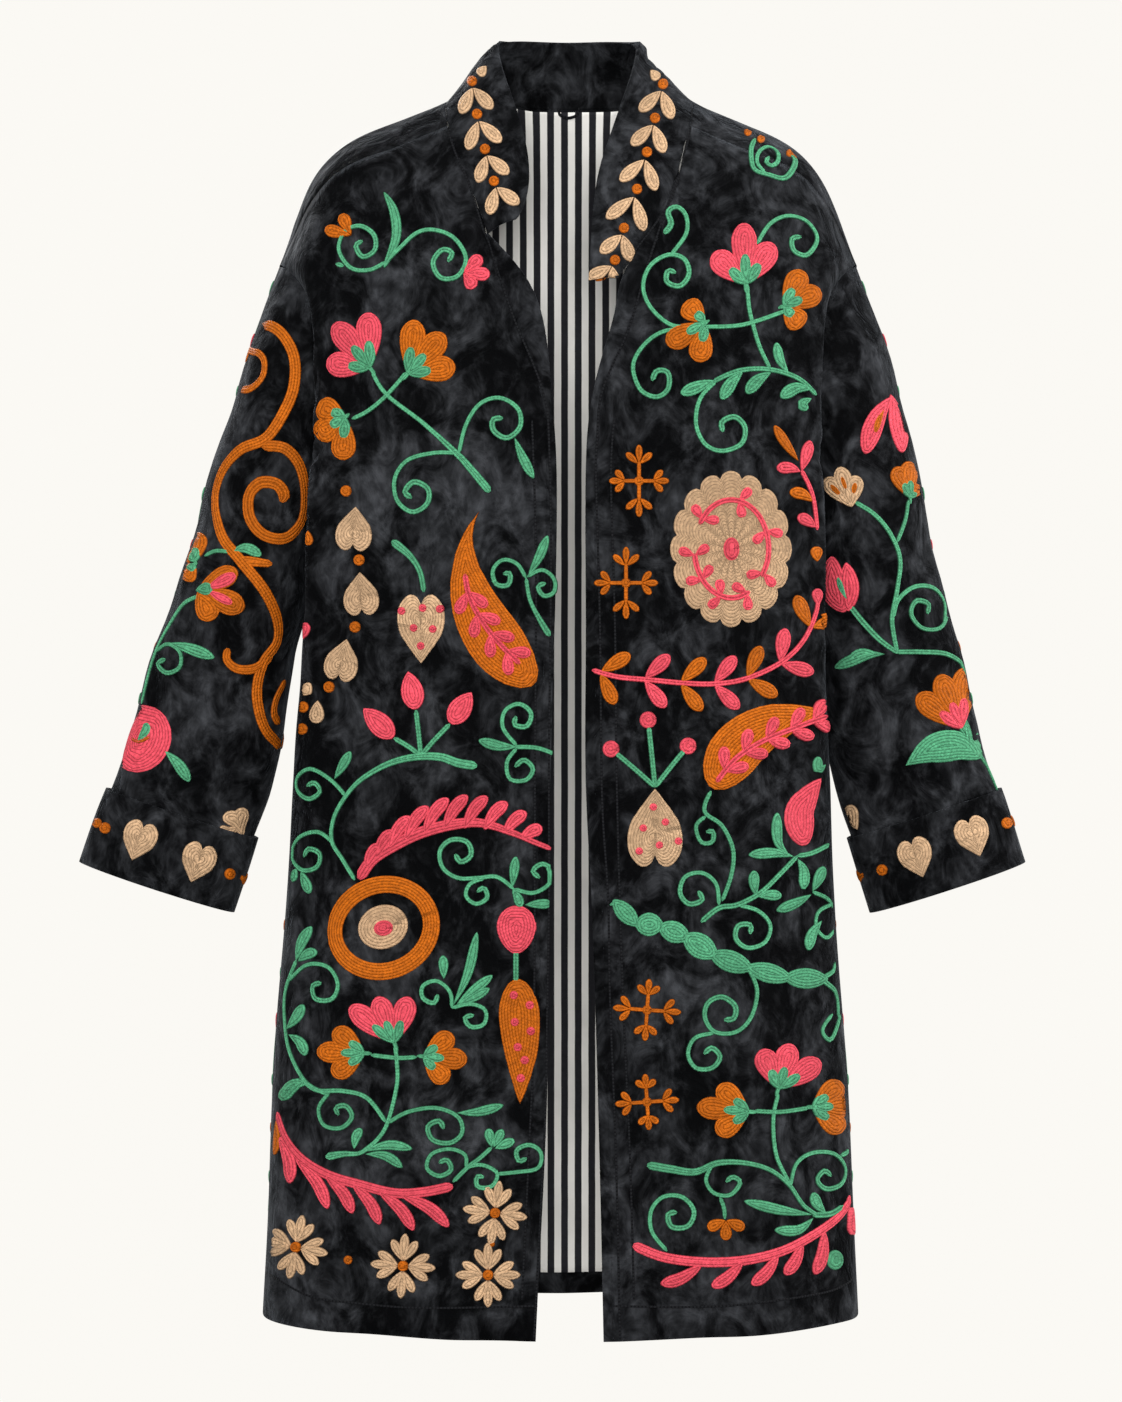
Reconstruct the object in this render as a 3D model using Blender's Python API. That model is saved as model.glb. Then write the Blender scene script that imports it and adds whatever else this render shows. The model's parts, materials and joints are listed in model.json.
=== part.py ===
"""Embroidered velvet coat, hollow and filled out as worn, each cut and sewn piece its own solid. Metres, +Z up, front at -Y."""

import math

import bpy
import numpy as np

# Driving sizes
VELVET = 0.0020  # wall of the velvet pieces
LINING = 0.0010  # wall of the striped lining
COLLAR_WALL = 0.0028  # collar, two layers of velvet sewn as one
CUFF_WALL = 0.0022
SEAM_GAP = 0.0003  # air between two sewn edges
LINING_AIR = 0.0010  # air between velvet and lining
HEM_FRONT, HEM_SIDE, HEM_BACK = -1.0963, -1.0880, -1.0960
UNDERARM = -0.335
LINING_HEM = 0.020  # the lining stops this far above the hem
BODY_SWAY, SLEEVE_SWAY = -0.0065, -0.0139  # the coat hangs a little to the wearer's right
CUFF_FALL = 0.0705  # height of the turned cuff
FOLD_DEPTH = 0.0042  # soft upright folds of the skirt

# Body form, level by level: form is the half width the rounded front and back follow, fold the half width
# where the front turns away, side the half width at the side seam
BODY = (
    # z, form, fold, side, front, back
    (0.020, 0.1000, 0.1000, 0.1000, 0.026, 0.062),
    (0.000, 0.1116, 0.1116, 0.1116, 0.032, 0.060),
    (-0.0154, 0.1478, 0.1478, 0.1478, 0.044, 0.064),
    (-0.0280, 0.1794, 0.1794, 0.1794, 0.053, 0.070),
    (-0.0434, 0.2065, 0.2065, 0.2065, 0.064, 0.078),
    (-0.0605, 0.2255, 0.2200, 0.2255, 0.075, 0.086),
    (-0.0813, 0.2381, 0.2215, 0.2381, 0.086, 0.093),
    (-0.1075, 0.2480, 0.2225, 0.2490, 0.096, 0.100),
    (-0.1473, 0.2560, 0.2245, 0.2560, 0.106, 0.107),
    (-0.2000, 0.2540, 0.2255, 0.2400, 0.114, 0.113),
    (-0.2600, 0.2520, 0.2260, 0.2200, 0.118, 0.116),
    (-0.3350, 0.2510, 0.2270, 0.2040, 0.120, 0.117),
    (-0.3850, 0.2510, 0.2292, 0.2075, 0.121, 0.117),
    (-0.4520, 0.2520, 0.2325, 0.2150, 0.121, 0.117),
    (-0.5230, 0.2530, 0.2362, 0.2235, 0.121, 0.117),
    (-0.6020, 0.2520, 0.2385, 0.2345, 0.121, 0.118),
    (-0.6696, 0.2500, 0.2395, 0.2430, 0.121, 0.120),
    (-0.7745, 0.2540, 0.2450, 0.2512, 0.122, 0.123),
    (-0.9110, 0.2630, 0.2540, 0.2612, 0.123, 0.127),
    (-1.1000, 0.2715, 0.2620, 0.2697, 0.124, 0.131),
)
# Armhole, round from the shoulder tip over the front to the underarm and back up behind
ARMHOLE = (
    # angle, half, y, z
    (0, 0.2634, 0.000, -0.1473),
    (30, 0.2470, -0.034, -0.1585),
    (60, 0.2285, -0.058, -0.1850),
    (90, 0.2185, -0.064, -0.2350),
    (135, 0.2095, -0.044, -0.3020),
    (180, 0.2040, 0.000, -0.3350),
    (225, 0.2120, 0.046, -0.3050),
    (270, 0.2290, 0.066, -0.2400),
    (315, 0.2500, 0.045, -0.1730),
    (360, 0.2634, 0.000, -0.1473),
)
# Forward shoulder seam, from the collar to the armhole
SHOULDER_SEAM = (
    # half, z
    (0.1075, -0.0326),
    (0.1611, -0.0558),
    (0.2000, -0.0720),
    (0.2227, -0.0900),
    (0.2400, -0.1120),
    (0.2585, -0.1480),
)
# Where collar, then open front edge, bound each front
LEFT_EDGE = (
    # x, z, on_collar, seam_x
    (-0.1075, -0.0326, 1, -0.1075),
    (-0.0966, -0.0638, 1, -0.0966),
    (-0.0884, -0.0820, 1, -0.0884),
    (-0.0810, -0.1061, 1, -0.0810),
    (-0.0711, -0.1345, 1, -0.0724),
    (-0.0492, -0.1558, 0, -0.0655),
    (-0.0335, -0.1740, 0, -0.0592),
    (-0.0257, -0.1900, 0, -0.0541),
    (-0.0204, -0.2150, 0, -0.0445),
    (-0.0135, -0.2776, 0, -0.0205),
    (-0.0088, -0.3300, 0, -0.0170),
    (-0.0074, -0.4168, 0, -0.0155),
    (-0.0091, -0.5908, 0, -0.0172),
    (-0.0100, -0.7126, 0, -0.0181),
    (-0.0126, -0.9040, 0, -0.0207),
    (-0.0204, -1.0606, 0, -0.0285),
    (-0.0222, -1.1000, 0, -0.0303),
)
RIGHT_EDGE = (
    # x, z, on_collar, seam_x
    (0.1075, -0.0326, 1, 0.1075),
    (0.1021, -0.0560, 1, 0.1021),
    (0.0918, -0.0950, 1, 0.0932),
    (0.0766, -0.1210, 1, 0.0835),
    (0.0580, -0.1480, 1, 0.0740),
    (0.0440, -0.1718, 1, 0.0655),
    (0.0430, -0.1960, 0, 0.0585),
    (0.0300, -0.2380, 0, 0.0440),
    (0.0204, -0.2742, 0, 0.0300),
    (0.0165, -0.3100, 0, 0.0250),
    (0.0163, -0.3472, 0, 0.0245),
    (0.0196, -0.4751, 0, 0.0278),
    (0.0213, -0.6222, 0, 0.0295),
    (0.0265, -0.7092, 0, 0.0347),
    (0.0295, -0.7979, 0, 0.0377),
    (0.0335, -0.9371, 0, 0.0417),
    (0.0370, -1.1000, 0, 0.0452),
)
# Free edge of the standing collar, from the centre back round to each end
COLLAR_TOP_LEFT = (
    # part, x, y, z
    (0.00, 0.0000, 0.0500, 0.0640),
    (0.12, -0.0330, 0.0430, 0.0645),
    (0.25, -0.0600, 0.0150, 0.0600),
    (0.38, -0.0575, -0.0150, 0.0300),
    (0.52, -0.0470, -0.0450, -0.0080),
    (0.64, -0.0390, -0.0660, -0.0390),
    (0.76, -0.0337, -0.0850, -0.0680),
    (0.88, -0.0340, -0.1000, -0.0930),
    (1.00, -0.0440, -0.1130, -0.1190),
)
COLLAR_TOP_RIGHT = (
    # part, x, y, z
    (0.00, 0.0000, 0.0500, 0.0640),
    (0.10, 0.0330, 0.0430, 0.0645),
    (0.20, 0.0605, 0.0150, 0.0605),
    (0.30, 0.0575, -0.0150, 0.0310),
    (0.42, 0.0460, -0.0450, -0.0080),
    (0.54, 0.0365, -0.0660, -0.0400),
    (0.66, 0.0275, -0.0850, -0.0680),
    (0.78, 0.0222, -0.1020, -0.1000),
    (0.90, 0.0195, -0.1150, -0.1360),
    (1.00, 0.0175, -0.1210, -0.1740),
)
# Sleeve, station by station from the armhole to the cuff
SLEEVE = (
    # outer_half, outer_z, inner_half, inner_z, half_depth
    (0.2797, -0.1960, 0.2112, -0.3560, 0.0700),
    (0.2948, -0.2377, 0.2150, -0.3850, 0.0690),
    (0.3090, -0.2901, 0.2205, -0.4180, 0.0670),
    (0.3225, -0.3425, 0.2265, -0.4540, 0.0640),
    (0.3358, -0.3886, 0.2325, -0.4880, 0.0610),
    (0.3493, -0.4405, 0.2385, -0.5250, 0.0570),
    (0.3628, -0.4925, 0.2440, -0.5640, 0.0520),
    (0.3763, -0.5395, 0.2500, -0.6000, 0.0465),
    (0.3890, -0.5800, 0.2590, -0.6350, 0.0410),
    (0.4020, -0.6180, 0.2680, -0.6620, 0.0370),
)

FRONT_ANGLES = [10 + 17 * k for k in range(11)]
BACK_ANGLES = [370 - 19 * k for k in range(11)]
ACROSS = (0, 0.035, 0.11, 0.20, 0.29, 0.38, 0.47, 0.56, 0.65, 0.73, 0.80, 0.86, 0.91, 0.945, 0.975, 1)
LOWER_ROWS = 15


def column(table, key, value, at):
    """Smooth reading of a table: the at column for a value in the key column."""
    rows = sorted(table, key=lambda row: row[key])
    keys = np.array([row[key] for row in rows], float)
    values = np.array([row[at] for row in rows], float)
    slopes = np.gradient(values, keys)
    value = float(np.clip(value, keys[0], keys[-1]))
    i = int(min(max(np.searchsorted(keys, value) - 1, 0), len(keys) - 2))
    step = keys[i + 1] - keys[i]
    t = (value - keys[i]) / step
    rise = (values[i + 1] - values[i]) / step
    limit = 3 * abs(rise)
    first, last = (float(np.clip(s, -limit, limit)) for s in (slopes[i], slopes[i + 1]))
    if first * rise < 0:
        first = 0
    if last * rise < 0:
        last = 0
    return (
        (2 * t**3 - 3 * t**2 + 1) * values[i]
        + (t**3 - 2 * t**2 + t) * step * first
        + (3 * t**2 - 2 * t**3) * values[i + 1]
        + (t**3 - t**2) * step * last
    )


def smooth(value, low, high):
    t = min(max((value - low) / (high - low), 0.0), 1.0)
    return t * t * (3 - 2 * t)


def sway(z, amount):
    return amount * smooth(-z, 0.20, 0.65)


def curve(points, parts):
    """A spline through the points, read at parts of its length."""
    points = np.array(points, float)
    padded = np.vstack([2 * points[0] - points[1], points, 2 * points[-1] - points[-2]])
    line = []
    for i in range(1, len(padded) - 2):
        a, b, c, d = padded[i - 1 : i + 3]
        knots = [0.0]
        for p, q in ((a, b), (b, c), (c, d)):
            knots.append(knots[-1] + max(np.linalg.norm(q - p), 1e-6) ** 0.5)
        k0, k1, k2, k3 = knots
        for t in np.linspace(k1, k2, 12, endpoint=False):
            one = (k1 - t) / (k1 - k0) * a + (t - k0) / (k1 - k0) * b
            two = (k2 - t) / (k2 - k1) * b + (t - k1) / (k2 - k1) * c
            three = (k3 - t) / (k3 - k2) * c + (t - k2) / (k3 - k2) * d
            four = (k2 - t) / (k2 - k0) * one + (t - k0) / (k2 - k0) * two
            five = (k3 - t) / (k3 - k1) * two + (t - k1) / (k3 - k1) * three
            line.append((k2 - t) / (k2 - k1) * four + (t - k1) / (k2 - k1) * five)
    line = np.array(line + [points[-1]])
    run = np.concatenate([[0], np.cumsum(np.linalg.norm(np.diff(line, axis=0), axis=1))])
    at = np.array(parts) * run[-1]
    return np.stack([np.interp(at, run, line[:, i]) for i in range(3)], axis=1)


def form_y(half, z, face):
    """Depth of the rounded front (face 4) or back (face 5) at a half width and level."""
    width = column(BODY, 0, z, 1)
    power = 2.4 + 0.6 * smooth(-z, 0.05, 0.22)
    inside = max(0.0, 1 - min(abs(half) / width, 1.0) ** power)
    depth = column(BODY, 0, z, face) * inside ** (1 / power)
    return -depth if face == 4 else depth


def armhole(angle):
    angle = angle % 360
    rows = [(a - 360, h, y, z) for a, h, y, z in ARMHOLE[-4:-1]] + list(ARMHOLE)
    rows += [(a + 360, h, y, z) for a, h, y, z in ARMHOLE[1:4]]
    return np.array([column(rows, 0, angle, i) for i in (1, 2, 3)])


def row_points(start, end, face, bow, parts, fold_weight=1.0):
    """One row across half a body piece: on the form to the fold, then round to the end, all as half widths."""
    first, last = start[0], end[0]
    turn = column(BODY, 0, end[2] * 0.9 + start[2] * 0.1, 2)
    turn = last + (turn - last) * fold_weight if last > turn else turn
    points = [start]
    for part in (0.12, 0.28, 0.46, 0.62, 0.77, 0.89):
        half = first + (turn - first) * part
        along = (half - first) / max(abs(last - first), abs(turn - first))
        z = start[2] + (end[2] - start[2]) * along**1.25 + bow(half)
        points.append((half, form_y(half, z, face), z))
    along = min((turn - first) / max(abs(last - first), 1e-6), 1.0)
    z = start[2] + (end[2] - start[2]) * along**1.25 + bow(turn)
    at_turn = np.array((turn, form_y(turn, z, face), z))
    points.append(at_turn)
    hollow = smooth(turn - last, 0.002, 0.014) if face == 4 or z < -0.2 else 0.0
    middle = 0.5 * at_turn + 0.5 * np.array(end)
    middle[0] += 0.0022 * (1 - hollow) - 0.26 * (turn - last) * hollow
    points += [middle, end]
    return curve(points, parts)


def form_z(half, y):
    """Level at which the form has this depth, found by halving."""
    face = 4 if y < 0 else 5
    low, high = -0.30, 0.02
    for _ in range(24):
        z = (low + high) / 2
        if abs(form_y(half, z, face)) > abs(y) and half < column(BODY, 0, z, 1):
            low = z
        else:
            high = z
    return (low + high) / 2


def settled(points, side, face):
    """Half widths turned into places: the side's sign, the soft folds (none at the seams) and the sway."""
    places = np.array(points, float)
    for place, part in zip(places, ACROSS):
        half, y, z = place
        window = smooth(part, 0.0, 0.11) * (1 - smooth(part, 0.74, 0.93))
        low = smooth(-z, 0.34, 0.95)
        shift = 0.7 if side < 0 else 2.3
        wave = math.sin(half * 58 + shift + z * 1.4) + 0.45 * math.sin(half * 113 + 2.2 * shift)
        soft = 0.35 * math.sin(half * 30 + 9 * z + shift) * smooth(-z, 0.12, 0.24)
        place[1] = y + (1 if face == 4 else -1) * FOLD_DEPTH * window * (low * wave * 0.7 + soft)
        place[0] = side * half + sway(z, BODY_SWAY)
    return places


def shoulder_row():
    """The forward shoulder seam, which front and back share."""
    first = np.array((0.1075, form_y(0.1075, -0.0326, 4), -0.0326))
    last = armhole(FRONT_ANGLES[0])
    seam = [first]
    for half in np.linspace(first[0], last[0], 14)[1:-1]:
        z = column(SHOULDER_SEAM, 0, half, 1)
        seam.append((half, form_y(half, z, 4) * min(1.0, 6 * (last[0] - half) / last[0]), z))
    return curve(seam + [last], ACROSS)


def front_rows(side, edge):
    """Rows of one front from the shoulder seam to the hem, the open edge beside them, and where the collar ends."""
    edge = [(abs(x), z, on, abs(seam)) for x, z, on, seam in edge]
    stops = np.linspace(0, 1, 11) ** 1.15
    level = [edge[0][1] + (UNDERARM - edge[0][1]) * stop for stop in stops]
    on_collar = [z for _, z, on, _ in edge if on][-1]
    last = int(np.argmin([abs(z - on_collar) for z in level]))
    level[last] = on_collar
    level += [UNDERARM + (HEM_FRONT - UNDERARM) * part for part in np.linspace(0, 1, LOWER_ROWS + 1)[1:]]
    rows, open_edge = [], []
    widths = [column(edge, 1, z, 3) - column(edge, 1, z, 0) for z in level]
    band_start = next(k for k, width in enumerate(widths) if width > 0.002)
    widths = [width if k >= band_start else 0.0020 * (k == band_start - 1) for k, width in enumerate(widths)]
    for k, z in enumerate(level):
        half = column(edge, 1, z, 0) + widths[k]
        start = np.array((half, form_y(half, z, 4), z))
        fade = 0.0
        if k <= 10:
            end = armhole(FRONT_ANGLES[k])
            fade = (1 - k / 10) ** 1.6
        else:
            side_z = UNDERARM + (HEM_SIDE - UNDERARM) * (z - UNDERARM) / (HEM_FRONT - UNDERARM)
            end = np.array((column(BODY, 0, side_z, 3), 0.0, side_z))

        def bow(at, first=start[0], last=end[0], fade=fade):
            high, low = column(SHOULDER_SEAM, 0, first, 1), column(SHOULDER_SEAM, 0, last, 1)
            chord = high + (low - high) * max(0.0, (at - first) / (last - first)) ** 1.25
            return fade * (column(SHOULDER_SEAM, 0, at, 1) - chord)

        rows.append(row_points(start, end, 4, bow, ACROSS, 1 - 0.85 * fade) if k else shoulder_row())
        half = column(edge, 1, z, 0)
        open_edge.append([(half, form_y(half, z, 4), z)])
    rows = [settled(row, side, 4) for row in rows]
    open_edge = [settled(row, side, 4)[0] for row in open_edge]
    for row, place, width in zip(rows, open_edge, widths):
        amount, middle = (0.010, -0.165) if side < 0 else (0.006, -0.205)
        lift = amount * math.exp(-(((place[2] - middle) / 0.045) ** 2))
        for point, share in ((place, 1.0), (row[0], 0.45 if width else 1.0), (row[1], 0.2)):
            point[1] -= lift * share
            point[2] += 0.3 * lift * share
    return rows, open_edge, last


def neck_seam():
    """Half of the neck seam, from the forward shoulder seam back to the centre back."""
    start = np.array((0.1075, form_y(0.1075, -0.0326, 4), -0.0326))
    points = [start, (0.1110, -0.020, -0.0080), (0.1095, 0.006, 0.0010), (0.0960, 0.034, 0.0030)]
    points += [(0.0560, 0.054, 0.0045), (0.0, 0.060, 0.0050)]
    return points


def back_half():
    """Half rows of the back piece from the forward shoulder seam over the shoulder to the hem."""
    neck = curve(neck_seam(), np.linspace(0, 1, 6))
    centre = [0.005, -0.062, -0.130, -0.198, -0.266, UNDERARM]
    starts = list(neck) + [np.array((0.0, form_y(0.0, z, 5), z)) for z in centre[1:]]
    rows = []
    for k, start in enumerate(starts):
        end = armhole(BACK_ANGLES[k])
        if k == 0:
            rows.append(shoulder_row())
            continue
        if k <= 5:
            over = [start]
            for part in (0.1, 0.22, 0.36, 0.5, 0.64, 0.78, 0.9):
                at = start[0] + (end[0] - start[0]) * part
                y = start[1] + (end[1] - start[1]) * part + 0.0042 * (k - 1) * math.sin(math.pi * part)
                over.append((at, y, form_z(at, y)))
            rows.append(curve(over + [end], ACROSS))
            continue
        rows.append(row_points(start, end, 5, lambda at: 0.0, ACROSS, 0.3))
    for part in np.linspace(0, 1, LOWER_ROWS + 1)[1:]:
        z = UNDERARM + (HEM_BACK - UNDERARM) * part
        side_z = UNDERARM + (HEM_SIDE - UNDERARM) * part
        end = np.array((column(BODY, 0, side_z, 3), 0.0, side_z))
        rows.append(row_points(np.array((0.0, form_y(0.0, z, 5), z)), end, 5, lambda at: 0.0, ACROSS))
    return rows


def drawn_in(grid, top=0.0, bottom=0.0, start=0.0, end=0.0):
    """The grid with its outer rows and columns drawn in by these lengths."""
    grid = np.array(grid, float)

    def draw(edge, inner, by):
        if np.any(by):
            gap = inner - edge
            length = np.maximum(np.linalg.norm(gap, axis=-1, keepdims=True), 1e-9)
            edge += gap / length * np.minimum(by, 0.45 * length)

    draw(grid[0], grid[1], top)
    draw(grid[-1], grid[-2], bottom)
    draw(grid[:, 0], grid[:, 1], start)
    draw(grid[:, -1], grid[:, -2], end)
    return grid


def quads_of(count_rows, count_columns, ring=False, skip=None):
    """Corner numbers of each face of a grid."""
    quads = []
    across = count_columns if ring else count_columns - 1
    for r in range(count_rows - 1):
        for c in range(across):
            if skip and skip(r, c):
                continue
            d = (c + 1) % count_columns
            a = r * count_columns
            quads.append((a + c, a + d, a + count_columns + d, a + count_columns + c))
    return quads


def add_normals(points, quads, shared):
    """Adds each face's normal to its corners, by place, so that pieces that meet share them."""
    for quad in quads:
        a, b, c, d = (points[i] for i in quad)
        normal = np.cross(c - a, d - b) * 1e4
        for i in quad:
            key = tuple(np.round(points[i] * 20000).astype(int))
            shared[key] = shared.get(key, 0) + normal


def place_normals(points, own, others):
    """Each point's normal: its own group's, and the meeting group's too unless that faces another way."""
    found = []
    for point in points:
        key = tuple(np.round(point * 20000).astype(int))
        normal = own.get(key, np.array((0.0, 0.0, 1.0)))
        normal = normal / max(np.linalg.norm(normal), 1e-9)
        for group in others:
            other = group.get(key)
            if other is not None:
                other = other / max(np.linalg.norm(other), 1e-9)
                normal = normal + other * (np.dot(normal, other) > 0.3)
        found.append(normal / np.linalg.norm(normal))
    return np.array(found)


def wall_solid(piece, own, others):
    """A closed wall of a piece: its points moved in by lift, then by the wall, both drawn in at the seams alike."""
    name, grid, quads, wall, colour, lift, trim = piece
    grid = np.array(grid, float)
    normals = place_normals(grid.reshape(-1, 3), own, others).reshape(grid.shape)
    layers = [trim(grid - normals * depth).reshape(-1, 3) for depth in (lift, lift + wall)]
    used = sorted({i for quad in quads for i in quad})
    renumber = {old: new for new, old in enumerate(used)}
    quads = [tuple(renumber[i] for i in quad) for quad in quads]
    count = len(used)
    faces = list(quads) + [(a + count, d + count, c + count, b + count) for a, b, c, d in quads]
    edges = {(quad[i], quad[(i + 1) % 4]) for quad in quads for i in range(4)}
    faces += [(b, a, a + count, b + count) for a, b in sorted(edges) if (b, a) not in edges]
    mesh = bpy.data.meshes.new(name)
    mesh.from_pydata(np.vstack([layer[used] for layer in layers]).tolist(), [], faces)
    mesh.update()
    mesh.shade_smooth()
    node = bpy.data.objects.new(name, mesh)
    bpy.context.scene.collection.objects.link(node)
    material = bpy.data.materials.new(name)
    material.use_nodes = True
    shader = material.node_tree.nodes["Principled BSDF"]
    shader.inputs["Base Color"].default_value = (*colour, 1)
    shader.inputs["Roughness"].default_value = 0.85
    mesh.materials.append(material)


def hemmed(layer):
    """Ends a lining's lowest row above the hem of the velvet."""
    step = layer[-2] - layer[-1]
    layer[-1] += step * (LINING_HEM / step[:, 2:])
    return layer


def front(name, side, edge):
    """One front, its lining and the band along its open edge."""
    rows, open_edge, last = front_rows(side, edge)
    gap = SEAM_GAP / 2 + 0.0001
    grid = np.array(rows)
    wide = [k for k, (row, place) in enumerate(zip(rows, open_edge)) if np.linalg.norm(row[0] - place) > 0.0005]
    band = []
    for row, free in list(zip(rows, open_edge))[wide[0] :]:
        band.append([free + (row[0] - free) * part for part in (0.0, 0.3, 0.65, 1.0)])
    band = np.array(band)
    if side > 0:
        grid, band = grid[:, ::-1], band[:, ::-1]

    def ends(start, end):
        return {"start": start, "end": end} if side < 0 else {"start": end, "end": start}

    across = len(ACROSS)
    neck = np.array([0.006 if k <= last else 0.002 for k in range(len(rows))])[:, None]

    def lining_ends(layer):
        return hemmed(drawn_in(layer, top=0.004, **ends(neck, 0.004)))

    return [
        (name, grid, quads_of(len(grid), across), VELVET, BLACK_VELVET, 0.0,
         lambda g: drawn_in(g, top=gap, **ends(gap, gap))),
        (name.replace("front", "band"), band, quads_of(len(band), 4), VELVET, BLACK_VELVET, 0.0,
         lambda g: drawn_in(g, top=gap, **ends(0.0, gap))),
        (name + "_lining", grid, quads_of(len(grid), across), LINING, OFF_WHITE, VELVET + LINING_AIR, lining_ends),
    ]


def back():
    """The back, cut in one over both shoulders, and its lining."""
    half = back_half()
    rows = [np.vstack([settled(row, -1, 5)[::-1], settled(row, 1, 5)]) for row in half]
    gap = SEAM_GAP / 2 + 0.0001
    across = len(ACROSS)

    def trim(top, sides, neck):
        def draw(layer):
            layer = drawn_in(layer, top=top, start=sides, end=sides)
            for r in range(5):
                for at, inner in ((across - 1, across - 2), (across, across + 1)):
                    step = layer[r, inner] - layer[r, at]
                    length = np.linalg.norm(step)
                    layer[r, at] += step / length * min(neck, 0.4 * length)
            step = layer[6, across - 1] - layer[5, across - 1]
            layer[5, across - 1] += step / np.linalg.norm(step) * neck
            return layer

        return draw

    def lining_trim(layer):
        return hemmed(trim(0.004, 0.004, 0.003)(layer))

    def faces():
        quads = []
        for quad in quads_of(len(rows), 2 * across, skip=lambda r, c: c == across - 1):
            places = [divmod(i, 2 * across) + (i,) for i in quad]
            quads.append(tuple(i - 1 if c == across and r >= 5 else i for r, c, i in places))
        return quads

    return [
        ("back_panel", rows, faces(), VELVET, BLACK_VELVET, 0.0, trim(gap, gap, gap)),
        ("back_lining", rows, faces(), LINING, OFF_WHITE, VELVET + LINING_AIR, lining_trim),
    ]


def sleeve_rings(side):
    angles = FRONT_ANGLES[:-1] + BACK_ANGLES[:0:-1]
    rings = []
    ring = []
    for angle in angles:
        half, y, z = armhole(angle)
        ring.append((side * half + sway(z, BODY_SWAY), y, z))
    rings.append(np.array(ring))
    for outer_half, outer_z, inner_half, inner_z, depth in SLEEVE:
        ring = []
        for angle in angles:
            turn = math.radians(angle)
            mix = (1 - math.cos(turn)) / 2
            swell = 0.5 * math.sin(turn) ** 2
            half = outer_half + (inner_half - outer_half) * mix
            z = outer_z + (inner_z - outer_z) * mix
            y = -depth * math.copysign(abs(math.sin(turn)) ** 0.86, math.sin(turn)) * (1 + 0.04 * swell)
            ring.append((side * half + sway(z, SLEEVE_SWAY), y, z))
        rings.append(np.array(ring))
    for k, ring in enumerate(rings[1:-1], 1):
        for i, place in enumerate(ring):
            turn = math.radians(angles[i])
            bend = 0.0022 * math.sin(k * 1.9 + 3 * turn) + 0.0016 * math.sin(k * 3.1 - 2 * turn)
            centre = ring.mean(axis=0)
            out = place - centre
            place += out / np.linalg.norm(out) * bend * min(1, k / 2) * (0.25 if math.cos(turn) < -0.3 else 1)
    return rings


def arm(name, cuff, side):
    """One sleeve and the cuff turned over its end."""
    rings = sleeve_rings(side)
    count = len(rings[0])
    end = rings[-1]
    fall = (end - rings[-2]).mean(axis=0)
    fall /= np.linalg.norm(fall)
    tail = end + fall * 0.012
    middle = tail.mean(axis=0)
    rings[-1] = middle + (tail - middle) * 0.985

    def faces(count_rows):
        quads = quads_of(count_rows, count, ring=True)
        return quads if side > 0 else [quad[::-1] for quad in quads]

    def at_armhole(layer):
        draw = layer[1] - layer[0]
        layer[0] += draw / np.linalg.norm(draw, axis=1, keepdims=True) * (SEAM_GAP / 2 + 0.0003)
        return layer

    band = []
    for step in (0.0, 0.012, 0.035, 0.058, CUFF_FALL):
        ring = end + fall * (step + 0.0005)
        out = ring - ring.mean(axis=0)
        grow = 0.0038 + 0.0010 * smooth(step, 0.0, 0.03)
        band.append(ring + out / np.linalg.norm(out, axis=1, keepdims=True) * grow)
    return [
        (name, rings, faces(len(rings)), VELVET, BLACK_VELVET, 0.0, at_armhole),
        (cuff, band, faces(len(band)), CUFF_WALL, BLACK_VELVET, 0.0, lambda layer: layer),
    ]


def collar():
    """Standing collar: one long piece from the left end round the neck to the right end."""
    halves = []
    for side, edge, top in ((-1, LEFT_EDGE, COLLAR_TOP_LEFT), (1, RIGHT_EDGE, COLLAR_TOP_RIGHT)):
        _, open_edge, last = front_rows(side, edge)
        seam = [np.array((side * p[0], p[1], p[2])) for p in curve(neck_seam(), np.linspace(0, 1, 6))[::-1]]
        seam += open_edge[1 : last + 1]
        low = np.array(seam)
        run = np.concatenate([[0], np.cumsum(np.linalg.norm(np.diff(low, axis=0), axis=1))])
        high = np.array([[column(top, 0, part, i) for i in (1, 2, 3)] for part in run / run[-1]])
        halves.append((low, high))
    (left_low, left_high), (right_low, right_high) = halves
    low = np.vstack([left_low[::-1], right_low[1:]])
    high = np.vstack([left_high[::-1], right_high[1:]])
    rise = high - low
    rise /= np.linalg.norm(rise, axis=1, keepdims=True)
    along = np.gradient(low, axis=0)
    out = np.cross(rise, along)
    out /= np.linalg.norm(out, axis=1, keepdims=True)
    grid = []
    for v in (0.0, 0.1, 0.3, 0.5, 0.7, 0.88, 1.0):
        roll = 0.0045 * math.sin(math.pi * v)
        grid.append(low + (high - low) * v + out * roll)
    grid = np.array(grid)
    quads = [(a, d, c, b) for a, b, c, d in quads_of(len(grid), grid.shape[1])]


    def at_neck(layer):
        layer[0] += rise * (SEAM_GAP / 2 + 0.0003)
        return layer

    return [("collar", grid, quads, COLLAR_WALL, BLACK_VELVET, 0.0, at_neck)]


BLACK_VELVET = (0.022, 0.023, 0.027)
OFF_WHITE = (0.62, 0.60, 0.56)

for old in list(bpy.data.objects):
    bpy.data.objects.remove(old, do_unlink=True)

pieces = back() + front("left_front", -1, LEFT_EDGE) + front("right_front", 1, RIGHT_EDGE) + collar()
pieces += arm("left_sleeve", "left_cuff", -1) + arm("right_sleeve", "right_cuff", 1)
groups = {"body": {}, "left": {}, "right": {}, "collar": {}}


def group_of(name):
    if name == "collar":
        return name
    return name.split("_")[0] if "sleeve" in name or "cuff" in name else "body"


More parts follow.
